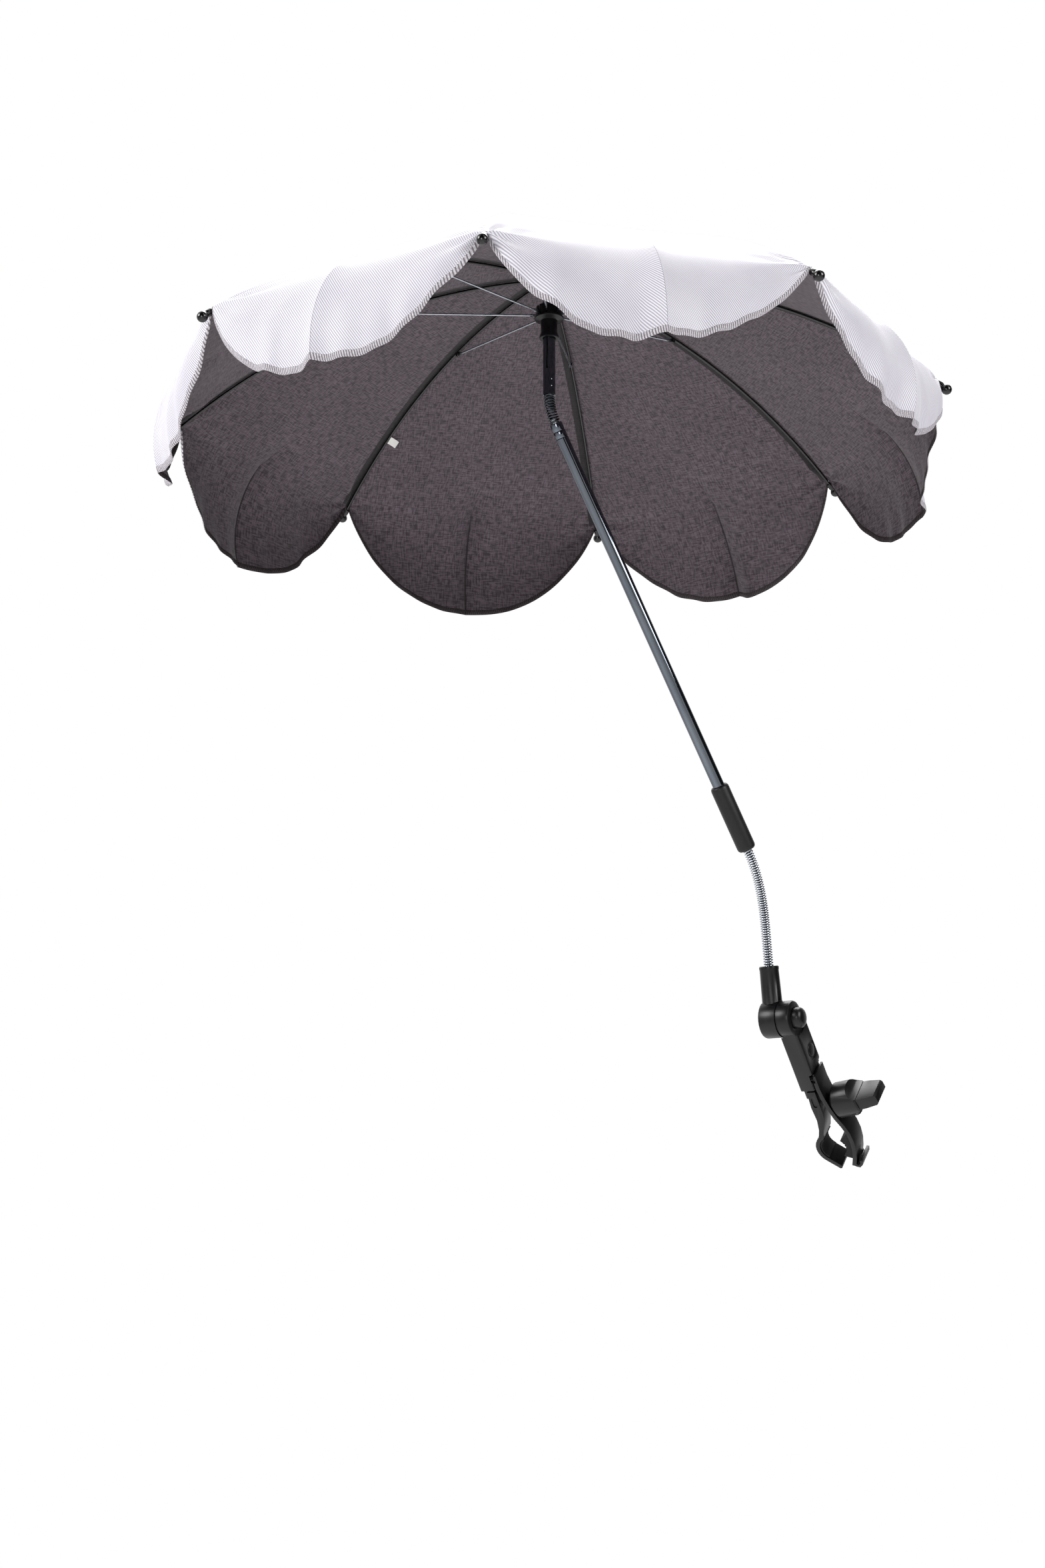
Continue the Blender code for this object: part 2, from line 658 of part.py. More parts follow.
def make_moving_pad():
    """The rubber block that fills the moving jaw's bend down to the tube."""
    start, end = MOVING_PAD_ARC
    inner_side = ribbon(MOVING_JAW_LINE, JAW_WALL + 2 * SEAT)[: len(MOVING_JAW_LINE)]
    backed = [(x, z) for x, z in inner_side if start < math.atan2(z, x) < end]
    outline = [*arc(TUBE_R + SEAT, start, end, 12), *backed]
    pad = plate(outline, -JAW_WIDTH / 2 + 1 * MM, JAW_WIDTH / 2 - 1 * MM)
    grooves = [
        rod(
            ((TUBE_R + SEAT) * math.cos(a), -JAW_WIDTH, (TUBE_R + SEAT) * math.sin(a)),
            ((TUBE_R + SEAT) * math.cos(a), JAW_WIDTH, (TUBE_R + SEAT) * math.sin(a)),
            0.8 * MM,
            6,
        )
        for a in [(-38 + 14 * i) * DEG for i in range(5)]
    ]
    mesh = combined(pad, [], grooves)
    mesh.transform(Matrix.Translation((-HINGE_X, 0, -HINGE_Z)))
    piece("moving_jaw_pad", mesh, "rubber", JAW_EMPTY)


def make_jaw_pin():
    pin = rod((HINGE_X, -9.4 * MM, HINGE_Z), (HINGE_X, 9.4 * MM, HINGE_Z), HINGE_PIN_R, 10)
    piece("jaw_pin", combined(pin), "bare_steel", CLAMP_EMPTY)


TO_X = Matrix.Rotation(math.pi / 2, 4, "Y")  # takes a turned shape's Z to X


def make_clamp_screw():
    """The bolt: its hexagonal head is held in the fixed jaw, and its thread ends in the knob."""
    head_inner = -SCREW_HEAD_AT
    shank = rod((head_inner - 1 * MM, 0, 0), (SCREW_IN_KNOB, 0, 0), SCREW_R, 12)
    head = rod((head_inner - SCREW_HEAD_THICKNESS, 0, 0), (head_inner, 0, 0), SCREW_HEAD_R, 6)
    piece("clamp_screw", combined(shank, [head]), "bare_steel", KNOB_EMPTY)


def make_thrust_washer():
    profile = tube_profile(WASHER_R, SCREW_R + SLIP, 0, WASHER_THICKNESS)
    washer = turned(profile, 16, translation(-SEAT - WASHER_THICKNESS, 0, 0) @ TO_X)
    piece("thrust_washer", combined(washer), "bare_steel", KNOB_EMPTY)


def make_knob():
    """The wing knob: a thick disc scooped out above and below to leave a bar for the fingers."""
    edge = 1.5 * MM
    base_edge = 2.5 * MM  # clears the jaw when it stands open
    bore = SCREW_R + SEAT
    depth = SCREW_IN_KNOB + 9 * MM  # room for the thread when the knob runs in
    profile = [
        (0, KNOB_LENGTH),
        (KNOB_R - edge, KNOB_LENGTH),
        (KNOB_R, KNOB_LENGTH - edge),
        (KNOB_R, base_edge),
        (KNOB_R - base_edge, 0),
        (bore, 0),
        (bore, depth),
        (0, depth),
    ]
    body = turned(profile, 24, TO_X)
    tip = KNOB_LENGTH + WING_LENGTH
    wing = plate(
        [
            (KNOB_LENGTH - 10 * MM, -WING_THICKNESS / 2),
            (tip - 2 * MM, -WING_THICKNESS / 2 + 1 * MM),
            (tip, -WING_THICKNESS / 2 + 3 * MM),
            (tip, WING_THICKNESS / 2 - 3 * MM),
            (tip - 2 * MM, WING_THICKNESS / 2 - 1 * MM),
            (KNOB_LENGTH - 10 * MM, WING_THICKNESS / 2),
        ],
        -WING_WIDTH / 2,
        WING_WIDTH / 2,
    )
    scoops = [
        rod(
            (KNOB_LENGTH + 1 * MM, -KNOB_R - 1 * MM, side * (WING_THICKNESS / 2 + KNOB_SCOOP_R)),
            (KNOB_LENGTH + 1 * MM, KNOB_R + 1 * MM, side * (WING_THICKNESS / 2 + KNOB_SCOOP_R)),
            KNOB_SCOOP_R,
            16,
        )
        for side in (-1, 1)
    ]
    corners = [
        box(
            (KNOB_LENGTH + 7 * MM, side * WING_WIDTH / 2 - 3 * MM, -KNOB_R),
            (tip + 1 * MM, side * WING_WIDTH / 2 + 3 * MM, KNOB_R),
        )
        for side in (-1, 1)
    ]
    for corner, side in zip(corners, (-1, 1)):
        pivot = Vector((KNOB_LENGTH + 7 * MM, side * WING_WIDTH / 2, 0))
        turn = Matrix.Rotation(-side * 9 * DEG, 4, "Z")
        push = Matrix.Translation((0, side * 3 * MM, 0))
        corner.matrix_world = Matrix.Translation(pivot) @ turn @ push @ Matrix.Translation(-pivot)
    piece("knob", combined(body, [wing], [*scoops, *corners]), "black_plastic", KNOB_EMPTY)


# Arm and knuckle


def cross_rod(x_low, x_high, radius, sides=32, y=0.0, z=0.0):
    """A cylinder along X."""
    return rod((x_low, y, z), (x_high, y, z), radius, sides)


def rounded_drum(x_low, x_high, radius, edge_low, edge_high, sides=28):
    """A drum along X with its two rims rounded."""
    profile = [(0, x_high)]
    profile += [
        (radius - edge_high + edge_high * math.sin(a), x_high - edge_high + edge_high * math.cos(a))
        for a in ([0, 45 * DEG, 90 * DEG] if edge_high > MM else [45 * DEG])
    ]
    profile += [
        (radius - edge_low + edge_low * math.cos(a), x_low + edge_low - edge_low * math.sin(a))
        for a in ([0, 45 * DEG, 90 * DEG] if edge_low > MM else [45 * DEG])
    ]
    profile.append((0, x_low))
    return turned(profile, sides, TO_X)


def make_arm():
    """The arm: a sheath that slides on the tongue, and the right half of the knuckle."""
    axis_z = ARM_REACH
    seam = SEAM_X + SEAT / 2
    sheath = box((ARM_LEFT, ARM_FRONT, ARM_BOTTOM), (ARM_RIGHT, ARM_BACK, axis_z - 4 * MM), ARM_EDGE)
    head = rounded_drum(seam, KNUCKLE_RIGHT, ARM_HEAD_R, 0.4 * MM, KNUCKLE_EDGE)
    head.matrix_world = translation(0, 0, axis_z) @ head.matrix_world
    swing = cross_rod(-40 * MM, seam, SOCKET_HEAD_R + SLIP, 28, z=axis_z)
    end = cross_rod(KNUCKLE_RIGHT, 20 * MM, ARM_HEAD_R + 0.1 * MM, 28, z=axis_z)
    drop = Matrix.Rotation(SOCKET_LEAN - CLAMP_LEAN - SOCKET_DROP, 3, "X") @ Vector((0, 0, 1))
    hub = Vector((SOCKET_X, 0, axis_z))
    rest = rod(hub + drop * (ARM_HEAD_R - 2 * SLIP), hub + drop * SOCKET_HEIGHT, SOCKET_R + SLIP, 24)
    pocket = box(
        (ARM_LEFT + ARM_WALL, ARM_FRONT + ARM_WALL, ARM_BOTTOM - 5 * MM),
        (ARM_RIGHT - ARM_WALL, ARM_BACK - ARM_WALL, ARM_POCKET_TOP),
        1 * MM,
    )
    open_side = plate(
        [
            (2.6 * MM, ARM_BOTTOM - 5 * MM),
            (2.6 * MM, ARM_SIDE_BOTTOM - 2.5 * MM),
            (ARM_RIGHT + 5 * MM, ARM_SIDE_BOTTOM),
            (ARM_RIGHT + 5 * MM, ARM_BOTTOM - 5 * MM),
        ],
        -30 * MM,
        30 * MM,
    )
    corner_y, corner_z = ARM_BACK - 5 * MM, ARM_SIDE_BOTTOM + 5 * MM
    corner = combined(
        box((2.6 * MM, corner_y, corner_z - 8 * MM), (20 * MM, 30 * MM, corner_z)),
        [],
        [cross_rod(0, 30 * MM, 5 * MM, 20, y=corner_y, z=corner_z)],
    )
    bore = cross_rod(KNUCKLE_RIGHT - BUTTON_BORE_DEPTH, 20 * MM, BUTTON_R + SLIP, 20, z=axis_z)
    bolt_hole = cross_rod(-20 * MM, 0, BOLT_R + SEAT, 12, z=axis_z)
    dish = cross_rod(ARM_RIGHT - 0.7 * MM, 20 * MM, RELEASE_DISH_R, 20, y=RELEASE_Y, z=RELEASE_Z)
    release_hole = cross_rod(
        ARM_RIGHT - ARM_WALL - 1 * MM, 20 * MM, RELEASE_R + SEAT, 20, y=RELEASE_Y, z=RELEASE_Z
    )
    mesh = combined(
        sheath,
        [head],
        [swing, end, rest, pocket, open_side, helper(corner), bore, bolt_hole, dish, release_hole],
    )
    piece("arm", mesh, "black_plastic", CLAMP_EMPTY)


def make_release_button():
    """The round button in the arm's dish, held in by a flange behind the wall."""
    wall_inner = ARM_RIGHT - ARM_WALL
    face = ARM_RIGHT + 0.5 * MM
    top = face - wall_inner
    profile = [
        (0, top),
        (RELEASE_R * 0.6, top - 0.15 * MM),
        (RELEASE_R - 0.4 * MM, top - 0.7 * MM),
        (RELEASE_R, top - 1.2 * MM),
        (RELEASE_R, -SEAT),
        (RELEASE_R + RELEASE_RIM, -SEAT),
        (RELEASE_R + RELEASE_RIM, -SEAT - 0.9 * MM),
        (0, -SEAT - 0.9 * MM),
    ]
    place = translation(wall_inner, RELEASE_Y, RELEASE_Z) @ TO_X
    piece("release_button", combined(turned(profile, 16, place)), "black_plastic", CLAMP_EMPTY)


def make_socket():
    """The left half of the knuckle with the tube that holds the gooseneck."""
    seam = SEAM_X - SEAT / 2
    head = rounded_drum(KNUCKLE_LEFT, seam, SOCKET_HEAD_R, KNUCKLE_EDGE, 0.4 * MM)
    rim = 0.8 * MM
    profile = [
        (0, SOCKET_HEIGHT),
        (SOCKET_R - 0.2 * MM - rim, SOCKET_HEIGHT),
        (SOCKET_R - 0.2 * MM, SOCKET_HEIGHT - rim),
        (SOCKET_R - 0.2 * MM, SOCKET_HEIGHT - 3 * MM),
        (SOCKET_R - 0.5 * MM, SOCKET_HEIGHT - 4 * MM),
        (SOCKET_R, 20 * MM),
        (SOCKET_R, 10 * MM),
        (0, 10 * MM),
    ]
    tube = turned(profile, 20, translation(SOCKET_X, 0, 0))
    bore = rod(
        (SOCKET_X, 0, SOCKET_HEIGHT - SOCKET_BORE_DEPTH),
        (SOCKET_X, 0, SOCKET_HEIGHT + 5 * MM),
        NECK_R + SLIP,
        20,
    )
    bolt_hole = cross_rod(BOLT_END - 1 * MM, 0, BOLT_R + SEAT, 12)
    arm_side = cross_rod(seam, 20 * MM, ARM_HEAD_R + 2 * SLIP, 28)
    piece("socket", combined(head, [tube], [arm_side, bore, bolt_hole]), "black_plastic", KNUCKLE_EMPTY)


def make_push_button():
    """The domed button that frees the knuckle, a cup that slides in the arm's bore."""
    inner = KNUCKLE_RIGHT - BUTTON_DEPTH
    outer = KNUCKLE_RIGHT + BUTTON_PROUD
    cup = BUTTON_R - BUTTON_WALL
    profile = [
        (0, outer),
        (BUTTON_R * 0.5, outer - 0.4 * MM),
        (BUTTON_R * 0.78, outer - 1.4 * MM),
        (BUTTON_R * 0.94, outer - 3.2 * MM),
        (BUTTON_R, outer - 5.5 * MM),
        (BUTTON_R, inner),
        (cup, inner),
        (cup, outer - 4.5 * MM),
        (0, outer - 4.5 * MM),
    ]
    axis = KNUCKLE.inverted() @ CLAMP @ translation(0, 0, ARM_REACH)
    piece("push_button", combined(turned(profile, 18, axis @ TO_X)), "black_plastic", KNUCKLE_EMPTY)


def make_knuckle_bolt():
    floor = KNUCKLE_RIGHT - BUTTON_BORE_DEPTH
    shank = cross_rod(BOLT_END, floor + 1 * MM, BOLT_R, 12)
    head = cross_rod(floor + SEAT, floor + SEAT + BOLT_HEAD_THICKNESS, BOLT_HEAD_R, 20)
    piece("knuckle_bolt", combined(shank, [head]), "bare_steel", KNUCKLE_EMPTY)


def make_button_spring():
    """The return spring between the bolt's seat and the button, as a plain sleeve, since it is hidden."""
    floor = KNUCKLE_RIGHT - BUTTON_BORE_DEPTH
    outer = BUTTON_R - BUTTON_WALL - SEAT
    top = KNUCKLE_RIGHT + BUTTON_PROUD - 4.5 * MM - SEAT
    profile = tube_profile(outer, outer - SPRING_WALL, floor + SEAT, top)
    piece("button_spring", combined(turned(profile, 16, TO_X)), "spring_steel", KNUCKLE_EMPTY)


# Gooseneck


def winding(centre_line, tangent_axis, radius, wire_size, curls, points_per_curl):
    """One unbroken helix round a centre line, with its two ends straight and square to what they meet.

    centre_line takes a share from 0 to 1 and gives a point. Returns the points and the least gap that
    the tube leaves to itself."""
    reach = radius - wire_size / 2
    steps = curls * points_per_curl
    points = []
    for i in range(steps + 1):
        share = i / steps
        here = centre_line(share)
        ahead = (centre_line(min(share + 0.001, 1)) - centre_line(max(share - 0.001, 0))).normalized()
        side = tangent_axis.cross(ahead).normalized()
        other = ahead.cross(side)
        turn = 2 * math.pi * i / points_per_curl
        points.append(here + side * reach * math.cos(turn) + other * reach * math.sin(turn))
    first = (centre_line(0.002) - centre_line(0)).normalized()
    last = (centre_line(1) - centre_line(0.998)).normalized()
    points = [points[0] - first * wire_size] + points + [points[-1] + last * wire_size]
    least = min(
        (points[i] - points[j]).length
        for i in range(len(points))
        for j in range(i + points_per_curl // 2 + 1, min(i + 2 * points_per_curl, len(points)))
    )
    return points, least - wire_size


def neck_point(share):
    """The gooseneck's centre line, from inside the socket to inside the grip."""
    total = NECK_IN_SOCKET + NECK_SPAN + NECK_IN_GRIP
    along_line = share * total
    if along_line < NECK_IN_SOCKET:
        return SOCKET_MOUTH - SOCKET_UP * (NECK_IN_SOCKET - along_line)
    if along_line > NECK_IN_SOCKET + NECK_SPAN:
        return POLE_BASE + POLE_UP * (along_line - NECK_IN_SOCKET - NECK_SPAN)
    return bezier(NECK_CURVE, (along_line - NECK_IN_SOCKET) / NECK_SPAN)


def make_gooseneck():
    """The chromed winding and the steel core inside it."""
    to_frame = NECK_JOINT.inverted()
    total = NECK_IN_SOCKET + NECK_SPAN + NECK_IN_GRIP
    points, gap = winding(
        neck_point, NECK_AXIS, NECK_R, NECK_WIRE, int(total / NECK_PITCH), 8
    )
    print(f"gooseneck winding: least gap to itself {gap / MM:.2f} mm")
    tube = wire([to_frame @ p for p in points], NECK_WIRE / 2, 1)
    piece("gooseneck_winding", combined(tube), "chrome", NECK_EMPTY)
    core_r = NECK_R - NECK_WIRE - SEAT
    steps = 16
    line = [neck_point(i / steps) for i in range(steps + 1)]
    line = [line[0] - SOCKET_UP * 3 * MM, *line, line[-1] + POLE_UP * CORE_IN_SHAFT]
    core = wire([to_frame @ p for p in line], core_r, 1)
    piece("gooseneck_core", combined(core), "bare_steel", NECK_EMPTY)


# Pole


def make_grip():
    """The soft sleeve with rounded ends. It takes the gooseneck below and the shaft above."""
    edge = 3.0 * MM
    shaft_bore, neck_bore = SHAFT_R + SEAT, NECK_R + SLIP
    step = SHAFT_START - SEAT
    profile = [
        (shaft_bore, GRIP_LENGTH),
        *[
            (GRIP_R - edge + edge * math.sin(a), GRIP_LENGTH - edge + edge * math.cos(a))
            for a in (15 * DEG, 50 * DEG, 90 * DEG)
        ],
        *[
            (GRIP_R - edge + edge * math.cos(a), edge - edge * math.sin(a))
            for a in (0, 40 * DEG, 75 * DEG)
        ],
        (neck_bore, 0),
        (neck_bore, step),
        (shaft_bore, step),
    ]
    piece("grip_sleeve", combined(turned(profile, 22)), "black_plastic", NECK_EMPTY, POLE_AT)


def dimples(at, heading, axis_point):
    """Small round dents on four sides of a shaft."""
    reach = SHAFT_R - DIMPLE_DEPTH + DIMPLE_R
    return [
        ball((reach * math.cos(a), reach * math.sin(a), axis_point + heading * z), DIMPLE_R, 8)
        for z in at
        for a in (CATCH_AZIMUTH + 40 * DEG, CATCH_AZIMUTH - 50 * DEG)
    ]


def make_lower_shaft():
    top = POLE_LENGTH - SEAT
    profile = tube_profile(SHAFT_R, SHAFT_R - SHAFT_WALL, SHAFT_START, top)
    mesh = combined(turned(profile, 24), [], dimples(DIMPLE_AT, -1, top))
    piece("lower_shaft", mesh, "chrome", NECK_EMPTY, POLE_AT)


def plug_profile(flip):
    """A turned plug inside a shaft, with a nose that the spring's end curls sit on."""
    body = SHAFT_R - SHAFT_WALL - SEAT
    nose = TILT_R - TILT_WIRE - 2 * SEAT
    points = [(0, PLUG_LENGTH), (body, PLUG_LENGTH), (body, SEAT)]
    points += [(nose, SEAT), (nose, -PLUG_NOSE), (0, -PLUG_NOSE)]
    return [(r, -z) for r, z in reversed(points)] if flip else points


def make_tilt_plugs():
    lower = turned(plug_profile(True), 16, translation(0, 0, POLE_LENGTH))
    piece("tilt_plug_lower", combined(lower), "bare_steel", NECK_EMPTY, POLE_AT)
    upper = turned(plug_profile(False), 16)
    piece("tilt_plug_upper", combined(upper), "bare_steel", CANOPY_EMPTY, CANOPY_AT)


def make_tilt_spring():
    """The coil that joins the two shafts, bent by the angle between them."""
    trim = (TILT_WIRE + SEAT) / TILT_ARC_R
    start = SPRING_BOTTOM - TILT_CENTRE

    def centre_line(share):
        turn = trim + (TILT_ANGLE - 2 * trim) * share
        return TILT_CENTRE + Matrix.Rotation(turn, 3, TILT_AXIS) @ start

    points, gap = winding(centre_line, TILT_AXIS, TILT_R, TILT_WIRE, TILT_CURLS, 8)
    print(f"tilt spring: least gap to itself {gap / MM:.2f} mm")
    to_frame = NECK_JOINT.inverted()
    tube = wire([to_frame @ p for p in points], TILT_WIRE / 2, 1)
    piece("tilt_spring", combined(tube), "spring_steel", NECK_EMPTY)


def spun(angle):
    return Matrix.Rotation(angle, 4, "Z")


def make_upper_shaft():
    """The upper shaft with the slot that its catch springs out of."""
    top = CROWN_HEIGHT + SHAFT_ABOVE_NOTCH
    profile = tube_profile(SHAFT_R, SHAFT_R - SHAFT_WALL, SEAT, top)
    slot_half = CATCH_THICKNESS / 2 + SEAT
    slot = box(
        (2 * MM, -slot_half, CATCH_FOOT_Z - 1.5 * MM),
        (SHAFT_R + 4 * MM, slot_half, RUNNER_BOTTOM + 2 * MM),
    )
    slot.matrix_world = spun(CATCH_AZIMUTH)
    mesh = combined(turned(profile, 24), [], [slot, *dimples(DIMPLE_AT, 1, 0)])
    piece("upper_shaft", mesh, "chrome", CANOPY_EMPTY, CANOPY_AT)


def make_catch_spring():
    """The leaf inside the upper shaft. Its nose stands under the runner and holds it up."""
    inside = SHAFT_R - SHAFT_WALL - SEAT
    nose = SHAFT_R + CATCH_PROUD
    top = RUNNER_BOTTOM - SEAT
    foot = CATCH_FOOT_Z
    outline = [
        (nose, top),
        (nose, top - 1.5 * MM),
        (SHAFT_R + 0.3 * MM, top - 16 * MM),
        (inside, foot + 6 * MM),
        (inside, foot),
        (inside - 1.6 * MM, foot),
        (inside - 1.6 * MM, foot + 6 * MM),
        (inside - 1.2 * MM, top + 1 * MM),
        (inside, top + 1 * MM),
        (SHAFT_R + 0.2 * MM, top),
    ]
    leaf = plate(outline, -CATCH_THICKNESS / 2, CATCH_THICKNESS / 2)
    mesh = combined(leaf)
    mesh.transform(translation(0, 0, -foot))
    place = CANOPY_AT + Vector((0, 0, foot))
    piece("catch_spring", mesh, "spring_steel", CANOPY_EMPTY, place, spun(CATCH_AZIMUTH))


def rib_angles():
    return [FIRST_RIB + 2 * math.pi * i / RIB_COUNT for i in range(RIB_COUNT)]


def slots_at(start_r, end_r, low, high, width):
    cuts = []
    for angle in rib_angles():
        cut = box((start_r, -width / 2, low), (end_r, width / 2, high))
        cut.matrix_world = spun(angle)
        cuts.append(cut)
    return cuts


def make_top_notch():
    """The slotted crown that the ribs hinge in, with a groove for their wire."""
    hinge_z = rib_height(NOTCH_WIRE_R)
    top = hinge_z + RIB_HEIGHT / 2
    bottom = top - NOTCH_HEIGHT
    profile = tube_profile(NOTCH_R, SHAFT_R + SEAT, bottom, top)
    half = WIRE_R + SEAT
    groove_profile = tube_profile(NOTCH_WIRE_R + half, NOTCH_WIRE_R - half, hinge_z - half, top + 1 * MM)
    groove = turned(groove_profile, 16)
    slots = slots_at(
        NOTCH_WIRE_R - EYE_R - SLIP, NOTCH_R + 2 * MM, bottom + 1.2 * MM, top + 1 * MM, RIB_BLADE + 2 * SEAT
    )
    mesh = combined(turned(profile, 24), [], [groove, *slots])
    piece("top_notch", mesh, "black_plastic", CANOPY_EMPTY, CANOPY_AT)
    ring = ring_wire(NOTCH_WIRE_R, hinge_z)
    piece("notch_wire", ring, "bare_steel", CANOPY_EMPTY, CANOPY_AT)


def ring_wire(radius, height):
    """The wire ring that a set of hinge eyes is threaded on."""
    turns = [i * 72 * DEG for i in range(5)]
    around = [(radius + WIRE_R * math.cos(a), height - WIRE_R * math.sin(a)) for a in turns]
    return combined(turned(around, 16))


def make_ferrule():
    """The cap that holds the cloth down on the top of the shaft."""
    bottom = cloth_height(CLOTH_START_R) + CLOTH / 2 + SEAT
    top = bottom + CAP_HEIGHT
    bore = SHAFT_R + SEAT
    roof = CROWN_HEIGHT + SHAFT_ABOVE_NOTCH + SEAT
    profile = [
        (0, top),
        (2.6 * MM, top - 0.3 * MM),
        (4.6 * MM, top - 1.8 * MM),
        (5.4 * MM, top - 4.0 * MM),
        (bore + CAP_WALL, bottom + 6 * MM),
        (CAP_R - 0.6 * MM, bottom + 2.2 * MM),
        (CAP_R, bottom + 1.4 * MM),
        (CAP_R, bottom),
        (bore, bottom),
        (bore, roof),
        (0, roof),
    ]
    piece("ferrule_cap", combined(turned(profile, 20)), "gloss_black", CANOPY_EMPTY, CANOPY_AT)


# Ribs and stretchers, in a frame with X outwards from the shaft and Z up


def rib_height(radius, offset=0.0):
    """The height of the ribs' centre line, or of a line offset above it, at a distance from the shaft."""
    arc_r = RIB_ARC_R + offset
    return CROWN_HEIGHT - RIB_ARC_R + math.sqrt(arc_r**2 - radius**2)


def cloth_height(radius):
    return rib_height(radius, CLOTH_OFFSET)


CLOTH_OFFSET = RIB_HEIGHT / 2 + CLOTH_ABOVE_RIB + CLOTH / 2
ARC_CENTRE = Vector((0, 0, CROWN_HEIGHT - RIB_ARC_R))
TIP_ANGLE = math.asin(RIM_R / RIB_ARC_R)
RIB_END_ANGLE = TIP_ANGLE - 3.0 * MM / RIB_ARC_R
JOINT_ANGLE = math.asin(JOINT_R / RIB_ARC_R)
JOINT_INWARD = Vector((-math.sin(JOINT_ANGLE), 0, -math.cos(JOINT_ANGLE)))
PIN_AT = Vector((JOINT_R, 0, rib_height(JOINT_R))) + JOINT_INWARD * JOINT_DROP
RIB_HINGE = Vector((NOTCH_WIRE_R, 0, rib_height(NOTCH_WIRE_R)))
RUNNER_HINGE = Vector((RUNNER_WIRE_R, 0, RUNNER_WIRE_Z))


def rib_stations():
    """The angles at which a rib's straight runs meet, from the crown outwards."""
    start = math.asin(RIB_START / RIB_ARC_R)
    return [start + (RIB_END_ANGLE - start) * i / RIB_STEPS for i in range(RIB_STEPS + 1)]


def rib_mesh():
    """A U channel bent to an arc, with an eye at the crown and two ears with a pin for its stretcher."""
    half, low, high = RIB_WIDTH / 2, -RIB_HEIGHT / 2, RIB_HEIGHT / 2
    web, inner = high - RIB_WALL, half - RIB_WALL
    section = [(-half, low), (-half, high), (half, high), (half, low)]
    section += [(inner, low), (inner, web), (-inner, web), (-inner, low)]
    start = rib_stations()[0]
    bm = bmesh.new()
    turn = Matrix.Translation(ARC_CENTRE) @ Matrix.Rotation(start, 4, "Y")
    corners = [bm.verts.new(turn @ Vector((0, y, RIB_ARC_R + z))) for y, z in section]
    face = bm.faces.new(corners)
    bmesh.ops.spin(
        bm,
        geom=[face],
        cent=ARC_CENTRE,
        axis=(0, 1, 0),
        angle=RIB_END_ANGLE - start,
        steps=RIB_STEPS,
        use_duplicate=False,
    )
    bmesh.ops.remove_doubles(bm, verts=bm.verts, dist=0.000001)
    bmesh.ops.recalc_face_normals(bm, faces=bm.faces)
    channel = helper(from_bmesh(bm))
    blade_outline = [
        (RIB_START + 8 * MM, RIB_HINGE.z - EYE_R),
        (RIB_START + 8 * MM, RIB_HINGE.z + EYE_R * 0.6),
        (RIB_HINGE.x, RIB_HINGE.z + EYE_R),
        *arc(EYE_R, 150 * DEG, 270 * DEG, 3, (RIB_HINGE.x, RIB_HINGE.z)),
    ]
    blade = plate(blade_outline, -RIB_BLADE / 2, RIB_BLADE / 2)
    across = Vector((0, half, 0))
    eye_hole = rod(RIB_HINGE - across, RIB_HINGE + across, EYE_HOLE_R, 6)
    ears = [
        plate(
            [(-4.5 * MM, -0.6 * MM), (4.5 * MM, -0.6 * MM), (2.2 * MM, -4.6 * MM), (-2.2 * MM, -4.6 * MM)],
            side * (half - RIB_WALL / 2) - RIB_WALL / 2 + 0.02 * MM,
            side * (half - RIB_WALL / 2) + RIB_WALL / 2 - 0.02 * MM,
            Matrix.Translation((JOINT_R, 0, rib_height(JOINT_R))) @ Matrix.Rotation(JOINT_ANGLE, 4, "Y"),
        )
        for side in (-1, 1)
    ]
    reach = Vector((0, inner + 0.3 * MM, 0))
    pin = rod(PIN_AT - reach, PIN_AT + reach, JOINT_PIN_R, 6)
    return combined(channel, [blade, *ears, pin], [eye_hole])


def stretcher_mesh():
    """A round rod flattened at both ends, with an eye on the runner's wire and one on the rib's pin."""
    run = PIN_AT - RUNNER_HINGE
    length = run.length
    body = rod((5 * MM, 0, 0), (length - 5 * MM, 0, 0), STRETCHER_R, 6)
    blades, holes = [], []
    for at, inward, eye, hole in ((0, 1, EYE_R, EYE_HOLE_R), (length, -1, JOINT_EYE_R, JOINT_EYE_HOLE_R)):
        around = arc(eye, 60 * DEG, 300 * DEG, 4)
        around += [(8 * MM, -EYE_R * 0.7), (8 * MM, EYE_R * 0.7)]
        outline = [(at + inward * x, z) for x, z in around]
        blades.append(plate(outline, -STRETCHER_BLADE / 2, STRETCHER_BLADE / 2))
        holes.append(rod((at, -2 * MM, 0), (at, 2 * MM, 0), hole, 6))
    mesh = combined(body, blades, holes)
    mesh.transform(Matrix.Rotation(-math.atan2(run.z, run.x), 4, "Y"))
    return mesh


def tip_mesh():
    """The moulded cap on a rib's end: a sleeve that swells into a ball."""
    sleeve = TIP_NECK
    profile = [(0, TIP_BALL_R)]
    profile += [(TIP_BALL_R * math.sin(a), TIP_BALL_R * math.cos(a)) for a in (40 * DEG, 85 * DEG)]
    profile += [
        (TIP_NECK_R + 0.5 * MM, -TIP_BALL_R * 0.95),
        (TIP_NECK_R, -sleeve),
        (TIP_BORE_R, -sleeve),
        (TIP_BORE_R, -2.0 * MM),
        (0, -2.0 * MM),
    ]
    return combined(turned(profile, 8))


